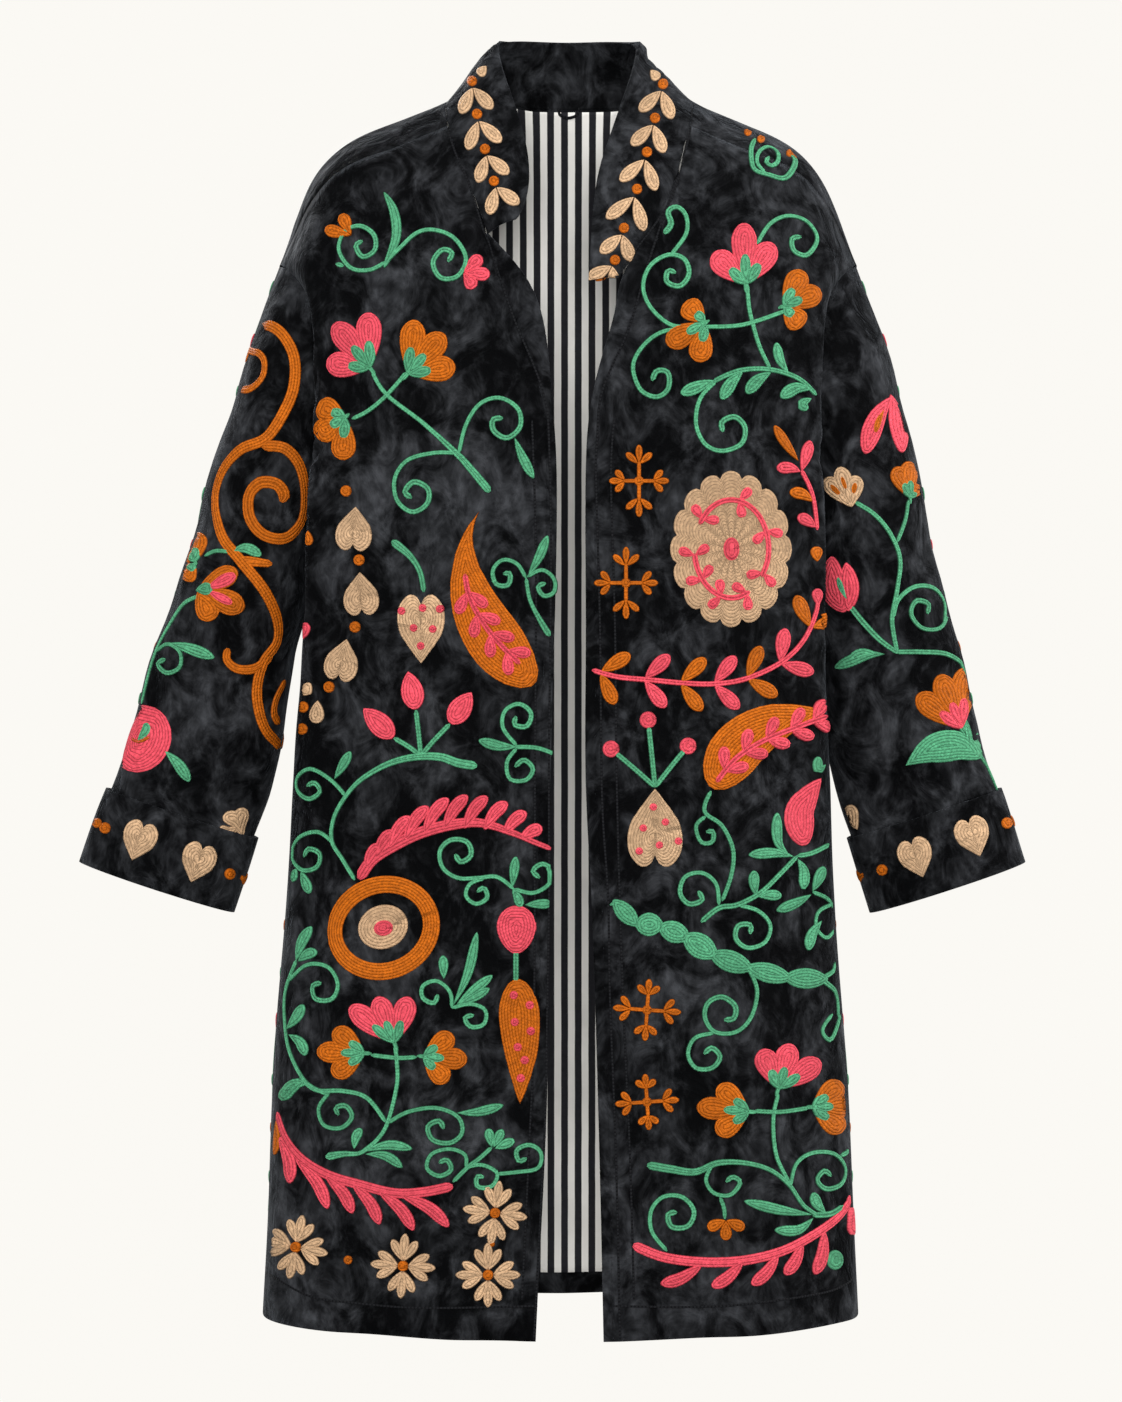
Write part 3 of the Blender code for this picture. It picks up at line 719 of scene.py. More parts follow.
def lobed(count, deep, turn=0.0):
    """Round lobes with notches between them."""
    def reach(angle):
        return 1 - deep + deep * abs(math.cos((angle + turn) * count / 2)) ** 0.55
    return reach


# Motifs

def toward(a, b, t):
    return (a[0] + (b[0] - a[0]) * t, a[1] + (b[1] - a[1]) * t)


def heading(a, b):
    """Degrees that a line from a to b runs at."""
    return math.degrees(math.atan2(b[1] - a[1], b[0] - a[0]))


def turned(centre, reach, degrees):
    angle = math.radians(degrees)
    return (centre[0] + reach * math.cos(angle), centre[1] + reach * math.sin(angle))


def dots(ground, colour, points, wide=12.5, high=1.15):
    for point in points:
        ground.shape(colour, point, wide, wide, steps=18, rings=3, high=high)


def leaves(ground, colour, wide, *axes):
    for axis in axes:
        ground.leaf(colour, axis, wide)


def lily(ground, colour, calyx, petals, wide=27, inner=None, cup=GREEN):
    """Three broad petals spread from a three-lobed green cup."""
    middle = (sum(p[0] for p in petals) / len(petals), sum(p[1] for p in petals) / len(petals))
    foot = toward(calyx, middle, -0.42)
    if cup == GREEN:
        ground.line(GREEN, [toward(foot, calyx, -0.85), foot, calyx], 5.2)
    for i in sorted(range(len(petals)), key=lambda k: k % 2 == 1):
        tip = toward(calyx, petals[i], 1.42)
        ground.leaf(colour, [foot, tip], wide, tip=0.70, root=0.9, crown=0.5,
                    high=1.0 + 0.12 * (i % 2))
        if inner is not None:
            ground.leaf(inner, [toward(foot, tip, 0.25), toward(foot, tip, 0.80)],
                        wide * 0.42, high=1.5)
    for i, petal in enumerate(petals):
        lobe = toward(foot, toward(calyx, petal, 1.42), 0.52)
        ground.leaf(cup, [toward(foot, calyx, -0.12), lobe], wide * 0.52, tip=0.64,
                    high=1.45 + 0.08 * (i % 2))


def fan(ground, colour, foot, degrees, long, wide, spread):
    """Three small petals side by side, as at the end of a snowflake's arm."""
    for aside in (-spread, spread, 0):
        reach = long * (1.0 if aside == 0 else 0.88)
        ground.leaf(colour, [foot, turned(foot, reach, degrees + aside)], wide, tip=0.66,
                    root=0.85, high=1.0 + (0.1 if aside == 0 else 0))


def snowflake(ground, centre, wide, tall, turn=0):
    for k in range(4):
        far = (wide, tall)[k % 2] / 2
        way = turn + 90 * k
        arm = [centre, turned(centre, far * 0.30, way), turned(centre, far * 0.55, way)]
        ground.line(ORANGE, arm, 4.8)
        fan(ground, ORANGE, turned(centre, far * 0.46, way), way, far * 0.56, 8, 48)
    ground.shape(ORANGE, centre, 11, 11, steps=16, rings=3, high=1.5)


def cross_flower(ground, centre, reach=32, turn=0):
    """Four beige petals, each of three leaves, round an orange dot."""
    for k in range(4):
        fan(ground, BEIGE, turned(centre, 4, turn + 90 * k), turn + 90 * k, reach - 3, 10.5, 30)
    ground.shape(ORANGE, centre, 12, 12, steps=16, rings=3, high=1.7)


def leaf_pairs(ground, stem, places, colours_in_turn, long=32, wide=14, spread=50, back=False,
               high=1.0):
    """Leaves in pairs along a stem, opening the way it runs."""
    path = smooth_path(stem, False, None, 101)
    for i, at in enumerate(places):
        k = min(99, max(1, round(at * 100)))
        run = heading(path[k - 1], path[k + 1])
        for aside in (-spread, spread):
            ground.leaf(colours_in_turn[i % len(colours_in_turn)],
                        [path[k], turned(path[k], long, run + aside)], wide, high=high)


def spray(ground, colour, stem, lobes, wide=15, stem_wide=11):
    """A feathered branch: rounded lobes that leave one side of its stem."""
    ground.line(colour, stem, stem_wide)
    for foot, tip in lobes:
        bend = toward(foot, tip, 0.55)
        aside = ((tip[1] - foot[1]) * 0.08, (foot[0] - tip[0]) * 0.08)
        ground.leaf(colour, [foot, (bend[0] + aside[0], bend[1] + aside[1]), tip], wide,
                    tip=0.7, root=0.45, crown=0.5, high=1.08)


def beige_heart(ground, centre, wide, tall, turn=0, seeds=()):
    ground.shape(BEIGE, centre, wide, tall, heart, turn=turn, steps=44, rings=6)
    dots(ground, PINK, seeds, 9.5, 2.3)


def bud(ground, foot, tip, wide=24):
    ground.leaf(PINK, [foot, tip], wide, tip=0.42, root=0.5, crown=0.75)


def wreath(ground, centre, wide, tall):
    """A scalloped beige oval with a broken pink wreath and a pink middle."""
    ground.shape(BEIGE, centre, wide, tall, lobed(16, 0.09), steps=128, rings=10)
    for start, end in ((-150, 35), (60, 175)):
        arc = [(centre[0] + 0.30 * wide * math.cos(math.radians(a)),
                centre[1] + 0.31 * tall * math.sin(math.radians(a)))
               for a in np.linspace(start, end, 9)]
        ground.line(PINK, arc, 7, high=2.3)
        leaf_pairs(ground, arc, (0.04, 0.36, 0.66, 0.97), (PINK,), 18, 12, 62, high=2.2)
    ground.shape(PINK, centre, wide * 0.155, tall * 0.17, steps=20, rings=3, high=2.4)


def paisley(ground, axis, wide, sprig, places, root=1.0):
    ground.leaf(ORANGE, axis, wide, tip=0.72, root=root, crown=0.5)
    ground.line(PINK, sprig, 7, high=2.2)
    leaf_pairs(ground, sprig, places, (PINK,), 26, 14, 38, high=2.2)


def left_front_flowers(g):
    # Scrolls at the shoulder
    g.line(GREEN, [(386, 262), (370, 270), (351, 268), (339, 250), (345, 232), (360, 226),
        (374, 235), (375, 250), (363, 257), (356, 246), (363, 241)], (5.4, 6.6))
    g.line(GREEN, [(386, 262), (401, 247), (417, 233), (434, 230), (454, 238), (466, 258),
        (458, 276), (441, 278), (433, 263), (442, 250), (452, 253), (448, 262)], (5.4, 6.6))
    g.leaf(GREEN, [(384, 268), (396, 238), (394, 212), (384, 192)], 11, tip=0.6, root=0.4)
    g.line(GREEN, [(344, 266), (336, 264)], 6)
    lily(g, ORANGE, (347, 232), [(331, 230), (343, 219)], 14, cup=ORANGE)
    lily(g, PINK, (468, 273), [(478, 261), (484, 274), (473, 284)], 15, cup=PINK)
    # Three lilies on crossing stems
    g.line(GREEN, [(372, 372), (387, 395), (423, 423), (456, 453), (470, 468), (490, 492)],
        (5.2, 9))
    g.line(GREEN, [(407, 372), (387, 395), (368, 411), (352, 419)])
    lily(g, PINK, (364, 360), [(343, 334), (367, 326), (337, 362)])
    lily(g, ORANGE, (415, 366), [(415, 333), (436, 343), (444, 366)])
    lily(g, ORANGE, (341, 421), [(324, 410), (323, 432), (342, 449)], 26)
    g.line(GREEN, [(456, 453), (434, 453), (408, 460), (395, 478), (397, 500), (412, 512),
        (427, 504), (428, 489), (414, 482), (405, 492), (412, 498)], (5.2, 7))
    g.line(GREEN, [(459, 453), (466, 425), (480, 404), (500, 398), (518, 409), (520, 427),
        (507, 438), (494, 431), (493, 420), (503, 418)], (5.2, 6.8))
    leaves(g, GREEN, 11, [(514, 436), (522, 456), (534, 479)])
    # Hearts and dots down the side
    dots(g, ORANGE, [(346, 491), (359, 560), (355, 627), (329, 687), (303, 707), (302, 729)])
    beige_heart(g, (354, 530), 44, 48, 4)
    beige_heart(g, (361, 595), 43, 47, -3)
    beige_heart(g, (342, 661), 41, 46, 12)
    leaves(g, BEIGE, 16, [(312, 694), (302, 686)], [(318, 700), (316, 724)])
    leaves(g, ORANGE, 10, [(308, 530), (309, 546)])
    leaves(g, PINK, 12, [(303, 640), (306, 622)])
    # Strawberry heart on its stalk
    g.line(GREEN, [(424, 592), (420, 572), (410, 556), (392, 541)], (6.5, 9.5))
    g.shape(BEIGE, (421, 627), 57, 74, heart, turn=180, steps=44, rings=6)
    dots(g, PINK, [(402, 611), (423, 608), (440, 609), (414, 628), (433, 629), (421, 646)], 10,
        2.3)
    paisley(g, [(481, 508), (468, 535), (466, 570), (477, 610), (502, 650), (534, 684)], 58,
        [(465, 574), (470, 598), (484, 624), (500, 644), (520, 664)], (0.16, 0.38, 0.60, 0.82),
        1.5)
    # Sprig by the front edge
    leaves(g, GREEN, 11, [(527, 578), (539, 557), (548, 535)])
    g.line(GREEN, [(526, 578), (517, 564), (503, 560), (493, 570), (496, 584), (508, 585),
        (510, 574), (503, 574)], (5, 6.4))
    g.line(GREEN, [(527, 577), (542, 570), (554, 579), (554, 592), (544, 596), (538, 587),
        (546, 583)], (5, 6.2))
    g.line(GREEN, [(526, 578), (530, 600), (540, 620), (550, 636)], (5, 7.5))
    # Three buds and the curled branch
    for foot, tip in (((394, 738), (363, 708)), ((416, 710), (408, 671)),
                      ((450, 724), (472, 692))):
        g.line(GREEN, [foot, toward(foot, (421, 754), 0.55), (421, 756)], 6)
        bud(g, foot, tip)
    g.line(GREEN, [(355, 880), (343, 860), (332, 841), (334, 818), (346, 796), (362, 779),
        (388, 764), (415, 757), (440, 757), (458, 763), (477, 766)], (5.5, 10))
    g.line(GREEN, [(346, 796), (331, 780), (311, 769), (298, 777), (298, 791), (309, 799),
        (320, 792), (315, 783), (307, 786)], (5.2, 6.4))
    leaves(g, GREEN, 11, [(334, 780), (343, 765), (351, 751)])
    g.line(GREEN, [(334, 843), (318, 832), (299, 838), (292, 856), (302, 870), (317, 867),
        (320, 854), (309, 849), (304, 857)], (5.2, 6.6))
    leaves(g, GREEN, 11, [(297, 868), (290, 882)], [(301, 870), (310, 894)])
    leaves(g, GREEN, 12, [(519, 747), (499, 746), (478, 740)])
    g.line(GREEN, [(517, 746), (503, 728), (505, 711), (519, 704), (531, 713), (527, 726),
        (515, 725), (516, 716)], (5.2, 6.4))
    g.line(GREEN, [(515, 747), (537, 748), (557, 755)], 5.4)
    g.line(GREEN, [(517, 748), (507, 762), (510, 779), (526, 780), (533, 769), (524, 760),
        (515, 767)], (5.2, 6.4))
    # Pink feather, and the ring below it
    spray(g, PINK, [(359, 879), (372, 860), (393, 846), (420, 833), (450, 825), (481, 823),
        (513, 833), (534, 842), (554, 850)], [((366, 869), (381, 844)), ((376, 859), (394, 830)),
        ((389, 849), (411, 816)), ((405, 841), (429, 806)), ((424, 834), (449, 798)), ((444, 830),
        (468, 795)), ((464, 829), (488, 796)), ((484, 830), (508, 802)), ((504, 834), (527, 812)),
        ((521, 839), (543, 828))], 14.5, (13, 6))
    ring = [(383 + 49 * math.cos(a) * 0.94 + 43 * math.sin(a) * 0.34,
             928 + 43 * math.sin(a) * 0.94 - 49 * math.cos(a) * 0.34)
            for a in (k * math.pi / 8 for k in range(16))]
    g.line(ORANGE, ring, 18.5, closed=True)
    g.shape(BEIGE, (383, 927), 52, 45, turn=-20, steps=30, rings=6)
    g.shape(PINK, (384, 928), 22, 18, turn=-10, steps=18, rings=4, high=2.2)
    # Curled sprig, bulb and pod
    g.line(GREEN, [(514, 889), (497, 877), (478, 878), (458, 878), (443, 868), (440, 851),
        (451, 840), (467, 842), (471, 855), (461, 862), (455, 854)], (5.2, 6.6))
    g.line(GREEN, [(485, 878), (470, 884), (466, 896), (476, 904), (487, 898), (484, 888),
        (477, 892)], (5, 6.2))
    g.line(GREEN, [(514, 889), (533, 893), (549, 884), (552, 870), (542, 864), (533, 871),
        (540, 878)], (5.2, 6.4))
    leaves(g, GREEN, 11, [(512, 889), (514, 872), (516, 856)], [(512, 888), (518, 898),
        (521, 908)], [(524, 905), (540, 904), (554, 904)])
    g.line(GREEN, [(516, 950), (516, 966), (516, 982)], 6.5)
    g.leaf(PINK, [(517, 905), (516, 955)], 41, tip=0.42, root=0.45, crown=0.6)
    g.leaf(ORANGE, [(517, 979), (519, 1010), (521, 1055), (520, 1104)], 42, tip=0.28, root=0.5,
        crown=0.85)
    dots(g, PINK, [(514, 995), (530, 1005), (515, 1022), (531, 1031), (518, 1047), (525, 1060),
        (521, 1078)], 10.5, 2.3)
    leaves(g, GREEN, 11, [(452, 1008), (468, 973), (477, 932)], [(455, 1006), (474, 990),
        (493, 975)], [(455, 1007), (474, 997), (490, 988)], [(444, 980), (443, 955)])
    g.line(GREEN, [(452, 1008), (450, 992), (437, 981), (423, 986), (423, 998), (434, 1003),
        (438, 994)], (5, 6.2))
    g.line(GREEN, [(452, 1008), (470, 1004), (485, 1010), (484, 1024), (471, 1027), (465, 1018),
        (474, 1015)], (5, 6.2))
    # Vine down the side
    leaves(g, GREEN, 12, [(296, 962), (302, 942), (312, 926)], [(298, 962), (308, 954),
        (318, 952)], [(286, 1030), (296, 1018), (304, 1004)], [(288, 1034), (300, 1042),
        (306, 1056)])
    g.line(GREEN, [(297, 960), (286, 990), (285, 1020), (290, 1052), (306, 1082), (327, 1094)],
        (6, 5.4))
    g.line(GREEN, [(289, 981), (307, 965), (328, 967), (338, 984), (332, 999), (316, 999),
        (313, 986), (322, 983)], (5.2, 6.6))
    g.line(GREEN, [(300, 1077), (316, 1090), (343, 1091), (367, 1098), (386, 1122)], 5.6)
    leaves(g, GREEN, 14, [(310, 1084), (296, 1084), (282, 1096)], [(302, 1086), (290, 1090),
        (280, 1100)])
    lily(g, PINK, (391, 1033), [(362, 1014), (381, 1007), (404, 1007)], 24)
    lily(g, ORANGE, (356, 1053), [(340, 1036), (328, 1052), (339, 1069)], 23)
    lily(g, ORANGE, (431, 1057), [(447, 1041), (457, 1059), (443, 1075)], 23)
    g.line(GREEN, [(395, 1045), (397, 1062), (397, 1085), (388, 1122), (377, 1140), (362, 1152)])
    g.line(GREEN, [(371, 1055), (398, 1058), (417, 1057)], 5.4)
    g.line(GREEN, [(330, 1092), (319, 1108), (324, 1125), (341, 1128), (352, 1117), (346, 1106),
        (336, 1108), (339, 1115)], (5.2, 6.6))
    g.line(GREEN, [(388, 1123), (408, 1112), (436, 1108), (458, 1117), (462, 1133), (450, 1143),
        (433, 1140), (428, 1127), (439, 1121), (444, 1129)], (5.2, 6.6))
    leaves(g, GREEN, 11, [(455, 1113), (478, 1112), (504, 1105)], [(354, 1150), (356, 1137),
        (362, 1128)])
    g.line(GREEN, [(375, 1143), (360, 1153), (343, 1154), (326, 1157)], (5.4, 9))
    leaves(g, GREEN, 11, [(362, 1152), (388, 1145), (413, 1149)], [(364, 1154), (386, 1156),
        (403, 1168)])
    # Pink branch above the hem
    g.leaf(ORANGE, [(277, 1118), (274, 1156)], 11)
    spray(g, PINK, [(277, 1113), (286, 1139), (303, 1160), (328, 1175), (357, 1184), (394, 1193),
        (424, 1192), (453, 1186)], [((280, 1136), (290, 1184)), ((296, 1158), (328, 1209)),
        ((325, 1174), (353, 1214)), ((352, 1183), (380, 1225)), ((378, 1190), (414, 1231)),
        ((400, 1194), (449, 1227))], 14)
    g.line(GREEN, [(453, 1182), (468, 1167), (480, 1158), (492, 1147)], 5.4)
    g.line(GREEN, [(466, 1168), (465, 1155), (450, 1149), (432, 1154), (427, 1168), (439, 1176),
        (451, 1170), (447, 1160), (439, 1163)], (5, 6.4))
    g.line(GREEN, [(466, 1167), (482, 1165), (497, 1173), (492, 1186), (478, 1187), (477, 1177),
        (484, 1177)], (5, 6.2))
    g.line(GREEN, [(497, 1174), (518, 1172), (538, 1168), (541, 1153), (530, 1145), (517, 1150),
        (519, 1161), (527, 1158)], (5, 6.2))
    leaves(g, GREEN, 11, [(492, 1148), (488, 1128)], [(493, 1148), (503, 1129)], [(494, 1149),
        (515, 1140)])
    for centre, turn in (((296, 1247), 12), ((403, 1266), 4), ((495, 1213), 8), ((488, 1275), 0)):
        cross_flower(g, centre, 32, turn)
    dots(g, ORANGE, [(348, 1260)], 10)
    dots(g, ORANGE, [(492, 1244)], 7)


def right_front_flowers(g):
    # Shoulder
    g.line(GREEN, [(755, 139), (751, 150), (754, 169), (769, 175), (785, 178), (795, 164),
        (792, 153)], (6, 7.5))
    g.line(GREEN, [(765, 173), (757, 163), (759, 152), (768, 147), (777, 152), (778, 161),
        (772, 166), (766, 162), (769, 157)], (5.2, 6))
    dots(g, ORANGE, [(748, 132), (761, 139), (790, 153)], 9)
    # Knot of scrolls by the collar
    g.line(GREEN, [(671, 255), (686, 234), (686, 216), (677, 207), (668, 212), (671, 224),
        (664, 234)], (5.2, 7.5))
    g.line(GREEN, [(692, 326), (671, 325), (651, 308), (643, 287), (650, 266), (668, 255),
        (684, 259), (689, 274), (680, 286), (667, 282), (668, 271), (676, 273)], (5.2, 6.6))
    g.line(GREEN, [(688, 328), (662, 332), (643, 346), (633, 366), (640, 389), (656, 397),
        (668, 389), (668, 373), (657, 371), (652, 381)], (5.2, 6.6))
    g.line(GREEN, [(702, 327), (735, 326), (757, 321), (785, 311)])
    g.line(GREEN, [(747, 284), (749, 308), (754, 329), (760, 348), (770, 369)])
    lily(g, ORANGE, (700, 326), [(689, 309), (676, 339), (699, 352)], 25)
    lily(g, ORANGE, (789, 304), [(799, 280), (812, 295), (799, 320)], 25)
    lily(g, PINK, (745, 274), [(722, 259), (744, 238), (765, 252)], 27)
    g.line(GREEN, [(757, 244), (770, 224), (788, 216), (807, 222), (817, 239), (807, 255),
        (794, 251), (792, 239), (801, 237)], (5.2, 6.6))
    # Branch across the chest
    g.line(GREEN, [(816, 395), (802, 381), (785, 373), (764, 369), (743, 370), (727, 375),
        (713, 382)], 6)
    g.line(GREEN, [(716, 381), (700, 399), (696, 424), (705, 444), (722, 451), (741, 444),
        (745, 428), (735, 417), (722, 422), (723, 432)], (5.2, 6.8))
    leaves(g, GREEN, 14, [(716, 380), (700, 386), (680, 394)], [(744, 370), (732, 382),
        (721, 400)], [(772, 372), (758, 380), (746, 394)], [(812, 390), (796, 388), (780, 398)])
    leaves(g, GREEN, 11, [(789, 374), (780, 360), (776, 342)], [(812, 398), (802, 404),
        (808, 410)])
    snowflake(g, (639, 481), 60, 72)
    snowflake(g, (626, 583), 64, 72)
    wreath(g, (731, 549), 123, 158)
    # Sprig up the side, then the garland
    g.line(PINK, [(801, 470), (809, 486), (814, 503), (817, 530)], 6)
    leaves(g, PINK, 13, [(801, 472), (806, 456), (810, 440)], [(801, 472), (790, 468), (776, 468)],
        [(816, 528), (806, 520), (797, 516)])
    leaves(g, ORANGE, 11, [(799, 462), (786, 444), (774, 425)])
    leaves(g, ORANGE, 13, [(813, 502), (802, 494), (789, 492)], [(817, 562), (816, 546)])
    stem = [(592, 670), (618, 677), (650, 680), (682, 683), (713, 684), (745, 679), (780, 663),
        (803, 641), (816, 612), (818, 590)]
    g.line(PINK, stem, 6.2)
    leaf_pairs(g, stem, (0.03, 0.19, 0.315, 0.435, 0.56, 0.69, 0.865), (ORANGE, PINK, ORANGE, PINK,
        ORANGE, PINK, ORANGE), 36, 16, 48)
    leaves(g, PINK, 12, [(818, 606), (817, 588)])
    # Three berries over an inverted heart
    for head in ((648, 720), (611, 749), (688, 746)):
        stalk = [toward(head, (655, 786), 0.1), toward(head, (655, 786), 0.5), (655, 787)]
        g.line(GREEN, stalk, 6)
        g.shape(PINK, head, 18, 18, steps=22, rings=4)
    beige_heart(g, (655, 830), 66, 84, 0, [(653, 807), (665, 822), (643, 828), (678, 841),
        (659, 845), (639, 851)])
    paisley(g, [(832, 712), (800, 716), (766, 727), (737, 749), (712, 788)], 54, [(716, 782),
        (735, 759), (762, 741), (796, 727), (826, 716)], (0.10, 0.30, 0.50, 0.70, 0.88))
    # Scrolls at the hip
    g.line(GREEN, [(711, 791), (705, 804), (706, 814), (722, 826), (733, 850), (731, 876),
        (722, 901)])
    g.line(GREEN, [(706, 816), (696, 826), (701, 842), (712, 842), (713, 832), (706, 832)],
        (5, 6.4))
    g.line(GREEN, [(719, 905), (716, 884), (702, 873), (685, 877), (680, 893), (689, 904),
        (702, 900), (698, 891)], (5.2, 6.6))
    g.line(GREEN, [(797, 856), (779, 875), (760, 893), (737, 905), (719, 908), (701, 922)],
        (6, 6.5))
    g.line(GREEN, [(738, 905), (758, 911), (770, 925), (765, 942), (748, 948), (736, 939),
        (738, 926), (750, 925), (750, 934)], (5.2, 6.6))
    g.line(GREEN, [(797, 856), (812, 853), (830, 844)], 6)
    leaves(g, GREEN, 12, [(790, 856), (778, 842), (777, 812)], [(795, 857), (774, 853),
        (748, 855)], [(756, 897), (754, 884), (754, 870)], [(757, 897), (768, 895), (782, 896)],
        [(797, 858), (804, 872), (803, 890)], [(812, 894), (796, 903), (776, 911)], [(812, 892),
        (818, 880), (824, 866)], [(822, 920), (812, 934), (808, 951)])
    g.line(GREEN, [(812, 892), (826, 898), (834, 908)], 5.4)
    g.line(GREEN, [(832, 904), (818, 912), (816, 928), (826, 938), (834, 930)], 5.2)
    g.leaf(PINK, [(804, 846), (799, 815), (808, 796), (821, 778)], 31, tip=0.36, root=0.5,
        crown=0.8)
    leaves(g, GREEN, 11, [(826, 764), (818, 770), (818, 756)])
    # Chain of leaves and its branches
    g.line(GREEN, [(610, 905), (618, 902)], 5)
    for foot, tip, wide in (((615, 902), (636, 924), 19), ((637, 924), (661, 925), 25),
                            ((661, 927), (687, 937), 23), ((686, 937), (714, 955), 26),
                            ((713, 955), (749, 968), 23), ((749, 968), (788, 978), 21),
                            ((787, 978), (824, 979), 22)):
        g.leaf(GREEN, [toward(foot, tip, -0.12), toward(foot, tip, 1.12)], wide, tip=0.5,
            root=0.62, crown=0.62)
    g.line(GREEN, [(822, 978), (832, 972), (838, 962)], 6)
    g.line(GREEN, [(822, 980), (834, 990), (840, 1002), (838, 1022), (830, 1040), (822, 1030),
        (832, 1014)], (6.5, 5.2))
    snowflake(g, (647, 1010), 68, 62, 4)
    snowflake(g, (647, 1102), 64, 56, -4)
    g.line(GREEN, [(749, 969), (757, 991), (751, 1017), (736, 1032), (715, 1032), (705, 1018),
        (708, 1003), (722, 997), (735, 1006), (734, 1018), (724, 1020)], (5.2, 6.8))
    g.line(GREEN, [(714, 1033), (695, 1038), (688, 1054), (696, 1068), (712, 1068), (720, 1057),
        (712, 1048), (704, 1054)], (5.2, 6.6))
    g.line(GREEN, [(778, 1094), (773, 1119), (776, 1155), (789, 1183)])
    g.line(GREEN, [(754, 1111), (780, 1112), (808, 1108)], 5.4)
    lily(g, PINK, (781, 1080), [(767, 1058), (788, 1054), (809, 1066)], 25)
    lily(g, ORANGE, (740, 1111), [(724, 1093), (709, 1108), (723, 1127)], 24)
    lily(g, ORANGE, (820, 1107), [(836, 1090), (844, 1106), (837, 1124)], 24)
    # Vine above the hem
    g.line(GREEN, [(818, 1216), (803, 1205), (789, 1185), (770, 1170), (745, 1163), (718, 1163),
        (695, 1172), (670, 1169), (647, 1165)], (5.6, 9.5))
    g.line(GREEN, [(712, 1165), (706, 1180), (714, 1193), (730, 1195), (740, 1183), (733, 1177),
        (726, 1182)], (5, 6.2))
    g.line(GREEN, [(720, 1197), (724, 1208), (725, 1219)], 5.2)
    for degrees in (155, 90, 25):
        g.leaf(ORANGE, [(726, 1220), turned((726, 1220), 21, degrees)], 13, high=1.1)
    g.line(GREEN, [(790, 1186), (796, 1164), (812, 1153), (834, 1154), (845, 1168), (841, 1184),
        (826, 1189), (817, 1180), (824, 1171), (831, 1176)], (5.2, 6.6))
    g.line(GREEN, [(840, 1156), (852, 1150)], 6)
    g.line(GREEN, [(667, 1251), (652, 1232), (651, 1211), (663, 1197), (682, 1197), (694, 1211),
        (688, 1226), (672, 1227), (668, 1215), (677, 1212)], (5.2, 6.8))
    g.line(GREEN, [(812, 1215), (830, 1214), (843, 1206)], 7)
    leaves(g, GREEN, 12, [(814, 1215), (780, 1210), (744, 1201)], [(814, 1217), (798, 1230),
        (774, 1230)], [(826, 1214), (817, 1204), (813, 1192)])
    spray(g, PINK, [(633, 1245), (663, 1257), (700, 1262), (740, 1261), (777, 1253), (807, 1239),
        (837, 1218), (853, 1196)], [((702, 1265), (660, 1284)), ((743, 1261), (711, 1287)),
        ((778, 1255), (751, 1285)), ((802, 1243), (784, 1275)), ((824, 1231), (814, 1275)),
        ((850, 1206), (852, 1236))], 14)
    g.shape(GREEN, (835, 1260), 18, 21, steps=22, rings=4)


def left_sleeve_flowers(g):
    g.line(ORANGE, [(254, 333), (266, 325), (282, 334), (294, 357), (294, 386), (284, 412),
        (266, 438), (240, 450), (222, 472), (215, 502), (222, 536), (240, 560), (264, 590),
        (277, 618), (277, 642), (263, 664), (257, 695), (266, 730), (290, 753)], 12.5)
    g.line(ORANGE, [(246, 362), (255, 352), (264, 360), (263, 376), (252, 388), (240, 390)],
        (8.5, 10))
    g.line(ORANGE, [(262, 446), (284, 448), (299, 464), (305, 490), (302, 520), (286, 538),
        (264, 535), (250, 518), (249, 496), (260, 483), (276, 484), (284, 494), (281, 502)],
        (12.5, 13.5))
    g.line(ORANGE, [(240, 560), (256, 562), (272, 564)], (11, 8.5))
    g.line(ORANGE, [(272, 655), (256, 668), (238, 669), (227, 660), (228, 648)], (11, 9))
    g.line(ORANGE, [(302, 684), (290, 700), (289, 716), (300, 728)], (9, 11))
    lily(g, ORANGE, (194, 560), [(185, 548), (197, 540), (186, 574)], 21)
    g.line(GREEN, [(205, 556), (216, 551), (230, 552)])
    g.leaf(GREEN, [(230, 553), (246, 548), (262, 556)], 12)
    for tip, wide in (((213, 621), 25), ((238, 570), 23), ((245, 609), 26)):
        g.leaf(ORANGE, [(198, 590), tip], wide, tip=0.68, root=0.8)
    for tip, wide in (((237, 574), 15), ((234, 604), 12)):
        g.leaf(PINK, [(206, 590), tip], wide, high=1.5)
    g.leaf(GREEN, [(196, 591), (214, 588)], 15, high=1.8)
    g.line(GREEN, [(200, 596), (184, 604), (168, 628), (156, 652), (148, 678), (142, 704)], 5.6)
    g.line(GREEN, [(156, 652), (168, 644), (180, 652), (180, 667), (167, 673), (158, 664),
        (166, 659)], (5.2, 6.6))
    leaves(g, GREEN, 13, [(166, 643), (188, 648), (215, 658)], [(164, 750), (178, 764),
        (190, 782)])
    g.leaf(PINK, [(120, 766), (140, 740), (150, 706)], 62, tip=0.5, root=0.45, crown=0.45)
    g.leaf(GREEN, [(138, 742), (147, 730), (146, 722)], 11, high=1.7)
    g.line(ORANGE, [(128, 736), (140, 742), (152, 736)], 4, high=1.6)
    leaves(g, BEIGE, 17, [(243, 838), (236, 820), (222, 818)], [(242, 836), (240, 820),
        (246, 808)])
    leaves(g, BEIGE, 12, [(240, 826), (228, 832), (220, 826)])


